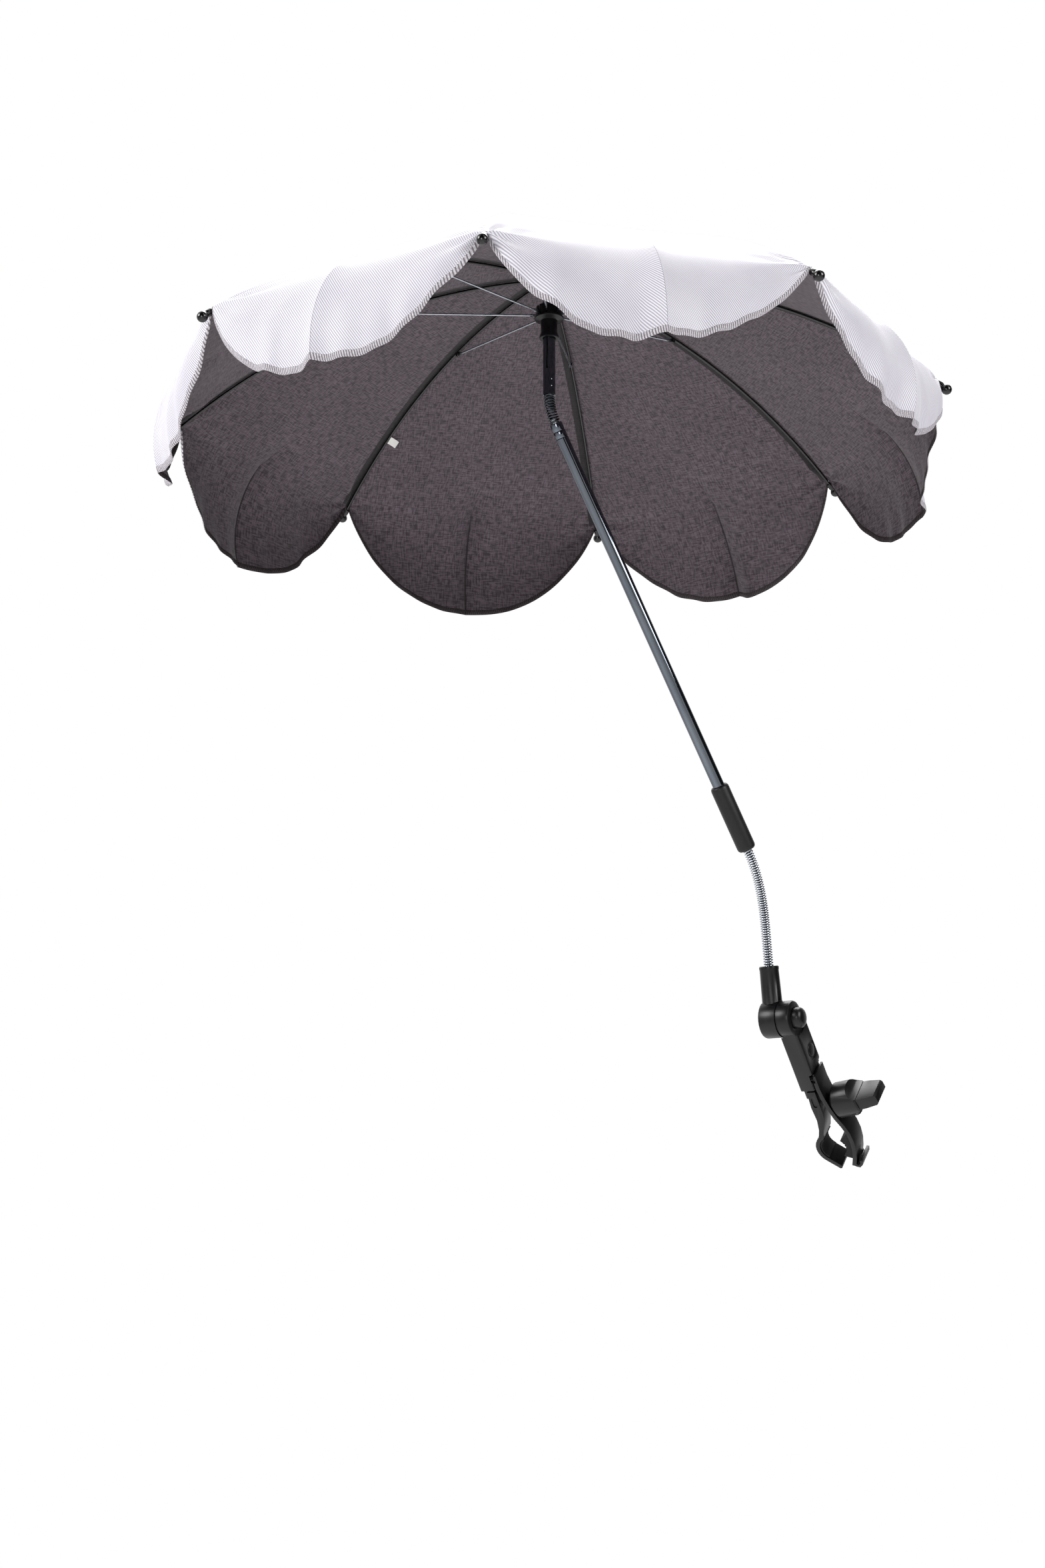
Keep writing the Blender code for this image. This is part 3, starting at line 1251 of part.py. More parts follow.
def make_ribs():
    rib, tip, stretcher = rib_mesh(), tip_mesh(), stretcher_mesh()
    rib.transform(Matrix.Translation(-RIB_HINGE))
    tip_at = Vector((RIM_R, 0, rib_height(RIM_R)))
    outward = Vector((math.cos(TIP_ANGLE), 0, -math.sin(TIP_ANGLE)))
    tip.transform(Matrix.Translation(tip_at - RIB_HINGE) @ along(outward))
    for i, angle in enumerate(rib_angles(), start=1):
        turn = spun(angle)
        hinge = CANOPY_AT + turn @ RIB_HINGE
        piece(f"rib_{i}", rib, "rib_steel", CANOPY_EMPTY, hinge, turn)
        piece(f"rib_tip_{i}", tip, "gloss_black", CANOPY_EMPTY, hinge, turn)
        foot = CANOPY_AT + turn @ RUNNER_HINGE
        piece(f"stretcher_{i}", stretcher, "bare_steel", CANOPY_EMPTY, foot, turn)


def make_runner():
    """The sliding hub: a flared sleeve, a flange and a slotted ring that the stretchers hinge in."""
    bore = SHAFT_R + SLIP
    profile = [
        (RUNNER_RING_R, RUNNER_TOP),
        (RUNNER_RING_R, RUNNER_FLANGE_Z + 2 * MM),
        (RUNNER_FLANGE_R, RUNNER_FLANGE_Z + 1.6 * MM),
        (RUNNER_FLANGE_R, RUNNER_FLANGE_Z),
        (RUNNER_NECK_R, RUNNER_FLANGE_Z - 1.5 * MM),
        (RUNNER_NECK_R, RUNNER_BOTTOM + 6 * MM),
        (RUNNER_FLARE_R, RUNNER_BOTTOM + 2.6 * MM),
        (RUNNER_FLARE_R, RUNNER_BOTTOM),
        (bore, RUNNER_BOTTOM),
        (bore, RUNNER_TOP),
    ]
    half = WIRE_R + SEAT
    outer, inner = RUNNER_WIRE_R + half, RUNNER_WIRE_R - half
    groove = turned(tube_profile(outer, inner, RUNNER_WIRE_Z - half, RUNNER_TOP + 1 * MM), 16)
    slots = slots_at(
        RUNNER_WIRE_R - EYE_R - SLIP,
        RUNNER_RING_R + 3 * MM,
        RUNNER_WIRE_Z - EYE_R - SLIP,
        RUNNER_TOP + 1 * MM,
        STRETCHER_BLADE + 2 * SEAT,
    )
    mesh = combined(turned(profile, 24), [], [groove, *slots])
    piece("runner", mesh, "black_plastic", CANOPY_EMPTY, CANOPY_AT)
    ring = ring_wire(RUNNER_WIRE_R, RUNNER_WIRE_Z)
    piece("runner_wire", ring, "bare_steel", CANOPY_EMPTY, CANOPY_AT)


def fold_angles(travel):
    """How far a rib and a stretcher turn when the runner comes down by travel."""
    foot = RUNNER_HINGE - Vector((0, 0, travel))
    rib_length = (PIN_AT - RIB_HINGE).length
    stretcher_length = (PIN_AT - RUNNER_HINGE).length
    span = (foot - RIB_HINGE).length
    inner = (rib_length**2 + span**2 - stretcher_length**2) / (2 * rib_length * span)
    down = foot - RIB_HINGE
    rib_heading = math.atan2(down.z, down.x) + math.acos(inner)
    pin = RIB_HINGE + Vector((math.cos(rib_heading), 0, math.sin(rib_heading))) * rib_length
    rest = PIN_AT - RIB_HINGE
    arm, arm_rest = pin - foot, PIN_AT - RUNNER_HINGE
    rib_turn = math.atan2(rest.z, rest.x) - rib_heading
    stretcher_turn = math.atan2(arm.z, arm.x) - math.atan2(arm_rest.z, arm_rest.x)
    return rib_turn, stretcher_turn


# Cloth


def lobe_depth(across):
    """How far a lobe hangs past the line between two rib tips, from -1 to 1 across the gore."""
    return LOBE_DEPTH * (1 - abs(across) ** 2.3) ** 0.8


def gore_point(across, down):
    """A point of a gore whose middle lies along X. down counts rows from the crown: the ribs' own
    stations, and then those of the lobe."""
    half = math.pi / RIB_COUNT
    arc_r = RIB_ARC_R + CLOTH_OFFSET
    start = math.asin(CLOTH_START_R / arc_r)
    end = TIP_ANGLE - CLOTH_TIP_GAP / RIB_ARC_R
    stations = [start, *rib_stations()[1:-1], end]
    angle = stations[min(down, RIB_STEPS)]
    radius = arc_r * math.sin(angle)
    height = ARC_CENTRE.z + arc_r * math.cos(angle)
    width = radius * math.sin(half) - SEAM_HALF_GAP
    point = Vector((radius * math.cos(half), across * width, height))
    if down > RIB_STEPS:
        lobe = (down - RIB_STEPS) / LOBE_ROWS
        depth = lobe_depth(across) * lobe
        slope_start = math.atan(math.tan(end) / math.cos(half))
        turn = (LOBE_END_SLOPE - slope_start) * (1 - abs(across))
        slope = slope_start + turn * lobe / 2
        point += Vector((math.cos(slope), 0, -math.sin(slope))) * depth
        outward = Vector((math.sin(slope), 0, math.cos(slope)))
        crease = LOBE_CREASE * lobe * max(0, 1 - 3 * abs(across))
        ruffle = LOBE_RUFFLE * lobe * math.sin(3 * math.pi * across) * (1 - abs(across))
        point += outward * (crease + ruffle)
    return point


def gore_mesh():
    """One gore as a sheet: a grid laid over the cone of the canopy and down its lobe."""
    rows = RIB_STEPS + LOBE_ROWS
    bm = bmesh.new()
    bmesh.ops.create_grid(bm, x_segments=GORE_ACROSS, y_segments=rows, size=1)
    for vert in bm.verts:
        vert.co = gore_point(vert.co.x, round((vert.co.y + 1) / 2 * rows))
    bmesh.ops.remove_doubles(bm, verts=bm.verts, dist=0.00001)
    bmesh.ops.recalc_face_normals(bm, faces=bm.faces)
    if sum((f.normal.z for f in bm.faces)) < 0:
        bmesh.ops.reverse_faces(bm, faces=bm.faces)
    sheet = helper(from_bmesh(bm))
    wall = sheet.modifiers.new("Cloth", "SOLIDIFY")
    wall.thickness = CLOTH
    wall.offset = 0
    return combined(sheet)


def make_gores():
    mesh = gore_mesh()
    for i, angle in enumerate(rib_angles(), start=1):
        turn = spun(angle + math.pi / RIB_COUNT)
        piece(f"canopy_gore_{i}", mesh, "canopy_fabric", CANOPY_EMPTY, CANOPY_AT, turn)


make_clamp_body()
make_fixed_pad()
make_moving_jaw()
make_moving_pad()
make_jaw_pin()
make_clamp_screw()
make_thrust_washer()
make_knob()
make_arm()
make_release_button()
make_socket()
make_push_button()
make_knuckle_bolt()
make_button_spring()
make_gooseneck()
make_grip()
make_lower_shaft()
make_tilt_plugs()
make_tilt_spring()
make_upper_shaft()
make_catch_spring()
make_top_notch()
make_ferrule()
make_ribs()
make_runner()
make_gores()

for travel in (RUNNER_TRAVEL / 2, RUNNER_TRAVEL):
    rib_turn, stretcher_turn = fold_angles(travel)
    print(
        f"runner down {travel / MM:.0f} mm: rib {rib_turn / DEG:.2f} degrees,"
        f" stretcher {stretcher_turn / DEG:.2f} degrees"
    )
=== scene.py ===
"""Stroller parasol: the looks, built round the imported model."""

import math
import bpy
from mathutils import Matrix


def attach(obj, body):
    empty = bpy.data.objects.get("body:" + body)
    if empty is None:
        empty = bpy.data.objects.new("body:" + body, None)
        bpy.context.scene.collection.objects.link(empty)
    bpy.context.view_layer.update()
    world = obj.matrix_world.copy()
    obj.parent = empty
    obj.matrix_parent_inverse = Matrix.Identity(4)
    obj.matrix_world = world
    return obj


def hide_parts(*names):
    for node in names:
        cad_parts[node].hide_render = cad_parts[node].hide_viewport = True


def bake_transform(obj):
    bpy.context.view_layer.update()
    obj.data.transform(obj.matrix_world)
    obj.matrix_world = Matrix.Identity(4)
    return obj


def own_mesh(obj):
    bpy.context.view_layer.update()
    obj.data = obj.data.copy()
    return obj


bl_info = {
    "name": "Stroller Parasol",
    "version": (1, 0, 0),
    "blender": (4, 5, 0),
    "location": "View3D > Sidebar > Parasol",
    "description": "Scalloped canopy, springs, shafts, hub and clamp of a stroller parasol",
    "category": "Object",
}

import bmesh
import bpy
from mathutils import Matrix, Vector

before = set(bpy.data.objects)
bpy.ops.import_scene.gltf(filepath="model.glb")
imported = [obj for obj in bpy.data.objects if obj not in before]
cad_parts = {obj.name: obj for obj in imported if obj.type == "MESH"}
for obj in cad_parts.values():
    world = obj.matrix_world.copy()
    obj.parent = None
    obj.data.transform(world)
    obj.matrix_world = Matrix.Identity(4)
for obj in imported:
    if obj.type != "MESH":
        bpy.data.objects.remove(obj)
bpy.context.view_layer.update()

MM = 0.001
DEG = math.pi / 180
WELD = 0.01 * MM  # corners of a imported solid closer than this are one
FINE_WELD = 0.002 * MM
CLOTH_WELD = 0.02 * MM
FLAT = 2 * DEG  # faces that meet at less than this are one

# Rest pose of the part, in metres and radians
SOCKET_MOUTH = Vector((-0.0185, -0.111833, 0.165012))
SOCKET_UP = Vector((0, -0.168489, 0.985703)).normalized()
POLE_BASE = Vector((-0.0221, -0.147033, 0.276612))
POLE_UP = Vector((-0.182922, -0.498975, 0.847091)).normalized()
POLE_LENGTH = 457 * MM
TILT_GAP = 26.85 * MM
UP = Vector((0, 0, 1))

# Canopy, measured from the top of the tilt spring
RIB_COUNT = 8
FIRST_RIB = -67.5 * DEG
HALF_GORE = math.pi / RIB_COUNT
RIB_ARC_R = 581 * MM
CROWN_HEIGHT = 119.8 * MM
RIM_R = 375 * MM
CLOTH_OFFSET = 2.6 * MM  # ribs' centre line to the middle of the cloth
CLOTH_START_R = 7.4 * MM
CLOTH_TIP_GAP = 15 * MM
CLOTH_WALL = 0.5 * MM
GORE_SAG = 2.2 * MM  # between the ribs, halfway down
CREASE_TOP = 0.88  # how far down the gore the pressed crease begins
CREASE_GROWTH = 0.16  # over how much of the gore it reaches its height
CREASE_WIDTH = 0.08  # share of half the gore's width
CREASE_GAIN = 1.3
CREASE_SHADE_REACH = 3 * MM  # how far off the middle its painted shade line is taken
CREASE_SHADE_FROM = 375 * MM  # where that painted shade line begins, along the cloth from the crown
CREASE_SHADE_FULL = 410 * MM  # and where it has its full strength
SWELL_COUNTS = (2.0, 3.4, 5.6)  # waves across a gore
RUFFLE_COUNTS = (6.5, 10.3)
RUFFLE_TOP = 1.35  # how far down the ruffles of the lobe's edge begin
RUFFLE_GAIN = 2.6
PULL_REACH = 17 * MM  # how far the wrinkles at a rib's tip run
PULL_SPOKES = 8  # how close together they fan out
PULL_RISE = 0.3
PULL_EDGE = 5 * MM  # they fade out this close to the rib
HEM_WIDTH = 190 * MM  # half a lobe's edge, as the thread's map has it

# Ribs and springs
RIB_BAR_R = 1.45 * MM
RIB_END = 9 * MM
EYE_PLACE = (155.3 * MM, 0, 96.3 * MM)  # of the stretcher's pin, from the top of the tilt spring
EYE_R = 2.2 * MM
EYE_WIDTH = 3.4 * MM
NECK_TAIL = 5 * MM  # how much of the neck is inside the pieces that hold it
NECK_PULL = 0.36  # how far its ends keep their direction, as a share of its span
NECK_COIL_R = 4.15 * MM
NECK_PITCH = 2.42 * MM
NECK_CORE_R = 2.9 * MM
TILT_COIL_R = 4.6 * MM
TILT_PITCH = 2.36 * MM
WIRE_R = 0.85 * MM

# Each lobe as it hangs: its depth, the slope its edge ends at, how far its lowest point lies off the
# middle, its crease's height, and three waves' height and phase, in millimetres and degrees.
# The first lobe lies between ribs 1 and 2.
LOBES = (
    (102, 97, -0.15, 4.0, (2.6, 0.4), (2.0, 1.9), (1.1, 0.3)),
    (98, 112, 0.00, 3.5, (2.4, 2.6), (2.4, 0.6), (1.3, 1.1)),
    (100, 95, 0.30, 4.0, (2.0, 1.2), (2.0, 2.4), (1.0, 2.0)),
    (110, 75, 0.00, 7.0, (2.2, 0.2), (2.4, 1.0), (1.2, 0.9)),
    (108, 112, 0.00, 9.0, (1.6, 2.2), (1.8, 0.1), (1.0, 2.6)),
    (108, 112, 0.00, 8.0, (2.4, 1.0), (2.0, 2.8), (1.2, 0.2)),
    (108, 115, 0.00, 3.0, (2.6, 0.2), (2.4, 1.5), (1.2, 1.7)),
    (104, 102, 0.00, 4.5, (2.8, 1.8), (2.4, 0.4), (1.4, 1.2)),
)


# Finishes


def linear(hex_code):
    """An sRGB hex code as a linear colour with full alpha."""
    parts = [int(hex_code[i : i + 2], 16) / 255 for i in (0, 2, 4)]
    return [c / 12.92 if c <= 0.04045 else ((c + 0.055) / 1.055) ** 2.4 for c in parts] + [1]


def linear_of(colour):
    """A colour property, which is already linear, with full alpha."""
    return [colour[0], colour[1], colour[2], 1]


def add(tree, kind, settings=None, links=None, stops=()):
    """One node with its settings and its links, each by its socket's name or number. A link is an output
    socket, and any other value is set. stops are the places and hex colours of a colour ramp."""
    node = tree.nodes.new(kind)
    for name, value in (settings or {}).items():
        setattr(node, name, value)
    for name, value in (links or {}).items():
        if isinstance(value, bpy.types.NodeSocket):
            tree.links.new(value, node.inputs[name])
        else:
            node.inputs[name].default_value = value
    if stops:
        elements = node.color_ramp.elements
        while len(elements) < len(stops):
            elements.new(0.5)
        for element, (place, colour) in zip(elements, stops):
            element.position = place
            element.color = linear(colour)
    return node


def new_finish(name):
    """An empty material with a Principled shader and its tree."""
    finish = bpy.data.materials.new(name)
    finish.use_nodes = True
    tree = finish.node_tree
    return finish, tree, tree.nodes["Principled BSDF"]


def tinted(tree, shade, pattern, stops, share=1.0):
    """A shade with a pattern's tints laid over it."""
    tint = add(tree, "ShaderNodeValToRGB", links={"Fac": pattern}, stops=stops).outputs["Color"]
    laid = {"data_type": "RGBA", "blend_type": "MULTIPLY"}
    return add(tree, "ShaderNodeMix", laid, {0: share, 6: shade, 7: tint}).outputs[2]


def near_border(tree, shade, distance, reach, stops):
    """A shade that changes near a border of the cloth, where its map's distance is below the reach."""
    share = add(tree, "ShaderNodeMath", {"operation": "MULTIPLY"}, {0: distance, 1: 1 / reach})
    return tinted(tree, shade, share.outputs[0], stops)


WAVE_PERIOD = 0.31416  # of the wave texture at a scale of 1


def bands(tree, vector, period, angle, distortion=0.0):
    """Even bands of a real period, across a direction of the surface's own map."""
    slanted = add(tree, "ShaderNodeMapping", links={"Vector": vector, "Rotation": (0, 0, angle)})
    wave = add(
        tree,
        "ShaderNodeTexWave",
        {"wave_type": "BANDS", "bands_direction": "X", "wave_profile": "SIN"},
        {
            "Vector": slanted.outputs[0],
            "Scale": WAVE_PERIOD / period,
            "Distortion": distortion,
            "Detail": 0.0,
        },
    )
    return wave.outputs["Fac"]


def grain(tree, vector, size, detail=3.0, stretch=None):
    """A soft grain of a real size. stretch, where it is given, draws it out along an axis."""
    if stretch:
        vector = add(tree, "ShaderNodeMapping", links={"Vector": vector, "Scale": stretch}).outputs[0]
    noise = add(tree, "ShaderNodeTexNoise", links={"Vector": vector, "Scale": 1 / size, "Detail": detail})
    return noise.outputs["Fac"]


def surfaced(tree, shader, shade, height, strength, rise):
    """Gives a shader its colour, and lets its surface rise with a pattern."""
    tree.links.new(shade, shader.inputs["Base Color"])
    relief = {"Height": height, "Strength": strength, "Distance": rise}
    tree.links.new(add(tree, "ShaderNodeBump", links=relief).outputs["Normal"], shader.inputs["Normal"])


def silver_twill(settings):
    """Polyester twill with a silver sun-reflecting coat, woven. The coat gives a soft pearly lilac sheen,
    and the twill's slanting ribs show as fine lines, drawn 1.8 mm apart as in the photograph."""
    finish, tree, shader = new_finish("silver_coated_polyester_twill")
    weave = add(tree, "ShaderNodeUVMap", {"uv_map": "weave"}).outputs[0]
    borders = add(tree, "ShaderNodeUVMap", {"uv_map": "borders"}).outputs[0]
    rib = bands(tree, weave, settings.twill_pitch, 38 * DEG, 0.4)
    cross = bands(tree, weave, 1.1 * MM, -52 * DEG, 0.6)
    cloud = grain(tree, weave, 60 * MM)
    base = linear_of(settings.outside)
    shade = tinted(tree, base, rib, ((0.2, "bdbbc0"), (0.75, "ffffff")))
    shade = tinted(tree, shade, cross, ((0.2, "d0ced3"), (0.8, "ffffff")), 0.5)
    shade = tinted(tree, shade, cloud, ((0.3, "f1f0f3"), (0.7, "ffffff")))
    parts = add(tree, "ShaderNodeSeparateXYZ", links={"Vector": borders})
    shade = near_border(tree, shade, parts.outputs[1], 10 * MM, ((0.42, "9b979f"), (0.5, "ffffff")))
    surfaced(tree, shader, shade, rib, 0.35, 0.15 * MM)
    shader.inputs["Roughness"].default_value = 0.62
    shader.inputs["Sheen Weight"].default_value = 0.25
    shader.inputs["Sheen Roughness"].default_value = 0.4
    return finish


def crease_shade_line(tree, weave, shade, hex_code):
    """Painted shade in the pressed crease down the middle of each lobe, which the folded canopy keeps: a thin
    darker line where the crease's shade falls.
    """
    parts = add(tree, "ShaderNodeSeparateXYZ", links={"Vector": weave})
    off = add(tree, "ShaderNodeMath", {"operation": "ABSOLUTE"}, {0: parts.outputs[0]})
    share = add(tree, "ShaderNodeMath", {"operation": "MULTIPLY"}, {0: off.outputs[0], 1: 1 / CREASE_SHADE_REACH})
    limits = {"Value": parts.outputs[1], "From Min": CREASE_SHADE_FROM, "From Max": CREASE_SHADE_FULL}
    below = add(tree, "ShaderNodeMapRange", links=limits).outputs[0]
    # the painted crease shade, darkest on the crease's middle and only down the lower gore
    return tinted(tree, shade, share.outputs[0], ((0.2, hex_code), (0.55, "ffffff")), below)


def dark_lining(settings):
    """The uncoated inside of the same cloth, dyed a warm dark grey. It is matt, with single lighter
    threads that show as specks. They are drawn about four times as coarse as real ones, so that they
    show."""
    finish, tree, shader = new_finish("dyed_polyester_twill_inside")
    weave = add(tree, "ShaderNodeUVMap", {"uv_map": "weave"}).outputs[0]
    borders = add(tree, "ShaderNodeUVMap", {"uv_map": "borders"}).outputs[0]
    rib = bands(tree, weave, 1.5 * MM, -38 * DEG, 0.8)
    warp = grain(tree, weave, 1.5 * MM, 1.0, (1, 0.18, 1))
    weft = grain(tree, weave, 1.5 * MM, 1.0, (0.18, 1, 1))
    both = add(tree, "ShaderNodeMath", {"operation": "ADD"}, {0: warp, 1: weft})
    halved = add(tree, "ShaderNodeMath", {"operation": "MULTIPLY"}, {0: both.outputs[0], 1: 0.5})
    threads = halved.outputs[0]
    cloud = grain(tree, weave, 90 * MM)
    base = linear_of(settings.inside)
    shade = tinted(tree, base, threads, ((0.38, "857f83"), (0.6, "ffffff")))
    shade = tinted(tree, shade, rib, ((0.2, "cfcdce"), (0.8, "ffffff")), 0.5)
    shade = tinted(tree, shade, cloud, ((0.3, "e2e0e1"), (0.7, "ffffff")))
    parts = add(tree, "ShaderNodeSeparateXYZ", links={"Vector": borders})
    shade = near_border(tree, shade, parts.outputs[0], 20 * MM, ((0.42, "5d595b"), (0.46, "ffffff")))
    shade = near_border(tree, shade, parts.outputs[1], 10 * MM, ((0.42, "6e6562"), (0.5, "ffffff")))
    # painted shade: a thin dark line along each lobe's pressed crease
    shade = crease_shade_line(tree, weave, shade, "7c787a")
    surfaced(tree, shader, shade, threads, 0.3, 0.12 * MM)
    shader.inputs["Roughness"].default_value = 0.85
    shader.inputs["Sheen Weight"].default_value = 0.15
    return finish


def thread(name, hex_code, gap):
    """Spun polyester overlock thread. Its loops slant across the edge, 2.4 mm apart, with the cloth's
    shade between them, and its twist gives fine light and dark turns."""
    finish, tree, shader = new_finish(name)
    along = add(tree, "ShaderNodeUVMap", {"uv_map": "stitch"}).outputs[0]
    loops = bands(tree, along, 2.4 * MM, 24 * DEG, 0.5)
    twist = grain(tree, along, 0.8 * MM, 1.0)
    laid = add(tree, "ShaderNodeValToRGB", links={"Fac": loops}, stops=((0.28, gap), (0.5, hex_code)))
    shade = tinted(tree, laid.outputs["Color"], twist, ((0.3, "bdbaba"), (0.7, "ffffff")))
    surfaced(tree, shader, shade, loops, 0.6, 0.3 * MM)
    shader.inputs["Roughness"].default_value = 0.8
    return finish


def moulded_black(name, hex_code, roughness, grit, strength, coat=0.0):
    """Moulded plastic. A fine spark-eroded grain softens its gloss, and handling leaves it uneven."""
    finish, tree, shader = new_finish(name)
    place = add(tree, "ShaderNodeTexCoord").outputs["Object"]
    wear = grain(tree, place, 14 * MM)
    shade = tinted(tree, linear(hex_code), wear, ((0.35, "c9c9cb"), (0.65, "ffffff")))
    surfaced(tree, shader, shade, grain(tree, place, grit, 2.0), strength, 0.08 * MM)
    limits = {"Value": wear, "To Min": roughness - 0.07, "To Max": roughness + 0.07}
    spread = add(tree, "ShaderNodeMapRange", links=limits)
    tree.links.new(spread.outputs[0], shader.inputs["Roughness"])
    shader.inputs["IOR"].default_value = 1.49
    shader.inputs["Specular IOR Level"].default_value = 0.32
    shader.inputs["Coat Weight"].default_value = coat
    return finish


def bright_metal(name, hex_code, roughness, brushed):
    """Plated or drawn steel. Drawing leaves faint lines and a slight haze on it."""
    finish, tree, shader = new_finish(name)
    place = add(tree, "ShaderNodeTexCoord").outputs["Object"]
    haze = grain(tree, place, brushed)
    shade = tinted(tree, linear(hex_code), haze, ((0.35, "e3e5e8"), (0.65, "ffffff")))
    tree.links.new(shade, shader.inputs["Base Color"])
    limits = {"Value": haze, "To Min": roughness * 0.7, "To Max": roughness * 1.4}
    spread = add(tree, "ShaderNodeMapRange", links=limits)
    tree.links.new(spread.outputs[0], shader.inputs["Roughness"])
    shader.inputs["Metallic"].default_value = 1.0
    return finish


def white_label():
    """Woven white satin ribbon of a sewn-in label, blank. Its fine ribs give it a soft shine."""
    finish, tree, shader = new_finish("woven_white_satin_ribbon")
    place = add(tree, "ShaderNodeTexCoord").outputs["Object"]
    ribs = bands(tree, place, 0.8 * MM, 0, 0.3)
    satin = add(tree, "ShaderNodeValToRGB", links={"Fac": ribs}, stops=((0.2, "cfcdca"), (0.8, "e9e7e4")))
    surfaced(tree, shader, satin.outputs["Color"], ribs, 0.4, 0.1 * MM)
    shader.inputs["Roughness"].default_value = 0.5
    return finish


FINISHES = {}


def finish_for(name):
    """A finish by its short name, made when it is first asked for."""
    settings = bpy.context.scene.parasol_cloth
    makers = {
        "outside": lambda: silver_twill(settings),
        "inside": lambda: dark_lining(settings),
        "thread_light": lambda: thread("overlock_thread_grey", "c4c1c7", "6f696e"),
        "thread_dark": lambda: thread("overlock_thread_brown", "40363a", "1f1a1c"),
        "satin": lambda: moulded_black("moulded_black_nylon", "08080a", 0.34, 0.5 * MM, 0.12),
        "label": white_label,
        "gloss": lambda: moulded_black("moulded_gloss_black_abs", "050506", 0.16, 2 * MM, 0.03, 0.3),
        "grip": lambda: moulded_black("soft_black_pvc_sleeve", "0a0a0c", 0.45, 0.4 * MM, 0.15),
        "rubber": lambda: moulded_black("moulded_black_rubber", "0c0c0d", 0.75, 0.6 * MM, 0.4),
        "chrome": lambda: bright_metal("chromed_steel_tube", "686d74", 0.05, 60 * MM),
        "winding": lambda: bright_metal("chromed_spring_wire", "b4b7bc", 0.12, 60 * MM),
        "spring": lambda: bright_metal("bright_spring_wire", "4a4e54", 0.24, 60 * MM),
        "rib": lambda: moulded_black("black_enamelled_rib_steel", "0b0b0c", 0.24, 3 * MM, 0.05, 0.4),
        "stretcher": lambda: bright_metal("drawn_steel_wire", "9ea2a7", 0.28, 5 * MM),
        "zinc": lambda: bright_metal("zinc_plated_steel", "a3a6a8", 0.35, 4 * MM),
    }
    if name not in FINISHES:
        FINISHES[name] = makers[name]()
    return FINISHES[name]


# Shapes


def piece(name, bm, finishes, smooth=40):
    """A finished piece at the origin, from a bmesh."""
    mesh = bpy.data.meshes.new(name)
    bm.to_mesh(mesh)
    bm.free()
    obj = bpy.data.objects.new(name, mesh)
    bpy.context.scene.collection.objects.link(obj)
    for finish in finishes:
        mesh.materials.append(finish_for(finish))
    mesh.shade_smooth()
    mesh.set_sharp_from_angle(angle=smooth * DEG)
    return obj


def node_finish(node, finish):
    """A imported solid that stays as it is, with its finish."""
    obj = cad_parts[node]
    obj.data.materials.clear()
    obj.data.materials.append(finish_for(finish))


def softened(node, body, width, finish):
    """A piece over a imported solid: its flats joined up, its edges rounded, and its rounds shaded smooth."""
    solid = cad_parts[node]
    bm = bmesh.new()
    bm.from_mesh(solid.data)
    bmesh.ops.transform(bm, matrix=solid.matrix_world, verts=bm.verts)
    bmesh.ops.remove_doubles(bm, verts=bm.verts, dist=WELD)
    bmesh.ops.dissolve_limit(bm, angle_limit=FLAT, verts=bm.verts, edges=bm.edges)
    edges = [e for e in bm.edges if len(e.link_faces) == 2 and e.calc_face_angle(0) > 38 * DEG]
    bmesh.ops.bevel(
        bm,
        geom=edges,
        offset=width * MM,
        segments=3,
        profile=0.5,
        affect="EDGES",
        clamp_overlap=True,
        material=-1,
    )
    bmesh.ops.recalc_face_normals(bm, faces=bm.faces)
    obj = piece(f"{node}_moulded", bm, [finish], 36)
    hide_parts(node)
    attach(obj, body)


def bezier(points, share):
    a, b, c, d = points
    rest = 1 - share
    return a * rest**3 + b * 3 * rest**2 * share + c * 3 * rest * share**2 + d * share**3


def swept(name, points, radius, sides, finishes):
    """A tube piece along points, from a bevelled curve."""
    curve = bpy.data.curves.new(name, "CURVE")
    curve.dimensions = "3D"
    curve.bevel_depth = radius
    curve.bevel_resolution = max(0, (sides - 4) // 2)
    curve.use_fill_caps = True
    spline = curve.splines.new("POLY")
    spline.points.add(len(points) - 1)
    for point, co in zip(spline.points, points):
        point.co = (*co, 1)
    holder = bpy.data.objects.new(name, curve)
    bpy.context.scene.collection.objects.link(holder)
    bpy.context.view_layer.update()
    mesh = bpy.data.meshes.new_from_object(holder.evaluated_get(bpy.context.evaluated_depsgraph_get()))
    bpy.data.objects.remove(holder)
    bm = bmesh.new()
    bm.from_mesh(mesh)
    bpy.data.meshes.remove(mesh)
    bmesh.ops.remove_doubles(bm, verts=bm.verts, dist=FINE_WELD)
    bmesh.ops.recalc_face_normals(bm, faces=bm.faces)
    return piece(name, bm, finishes, 60)


def standing(place, axis):
    """The matrix that stands Z along an axis at a place."""
    return Matrix.Translation(place) @ axis.to_track_quat("Z", "Y").to_matrix().to_4x4()


def turned(name, profile, place, finish, segments=40, closed=False):
    """A turned piece from radii and heights in millimetres."""
    bm = bmesh.new()
    line = [bm.verts.new((r * MM, 0, z * MM)) for r, z in profile]
    edges = [bm.edges.new(pair) for pair in zip(line, line[1:] + line[:1] if closed else line[1:])]
    bmesh.ops.spin(
        bm,
        geom=line + edges,
        cent=(0, 0, 0),
        axis=(0, 0, 1),
        angle=2 * math.pi,
        steps=segments,
        use_merge=True,
    )
    bmesh.ops.remove_doubles(bm, verts=bm.verts, dist=FINE_WELD)
    bmesh.ops.recalc_face_normals(bm, faces=bm.faces)
    bmesh.ops.transform(bm, matrix=place, verts=bm.verts)
    return piece(name, bm, [finish])


def rib_angle(index):
    return FIRST_RIB + 2 * math.pi * index / RIB_COUNT


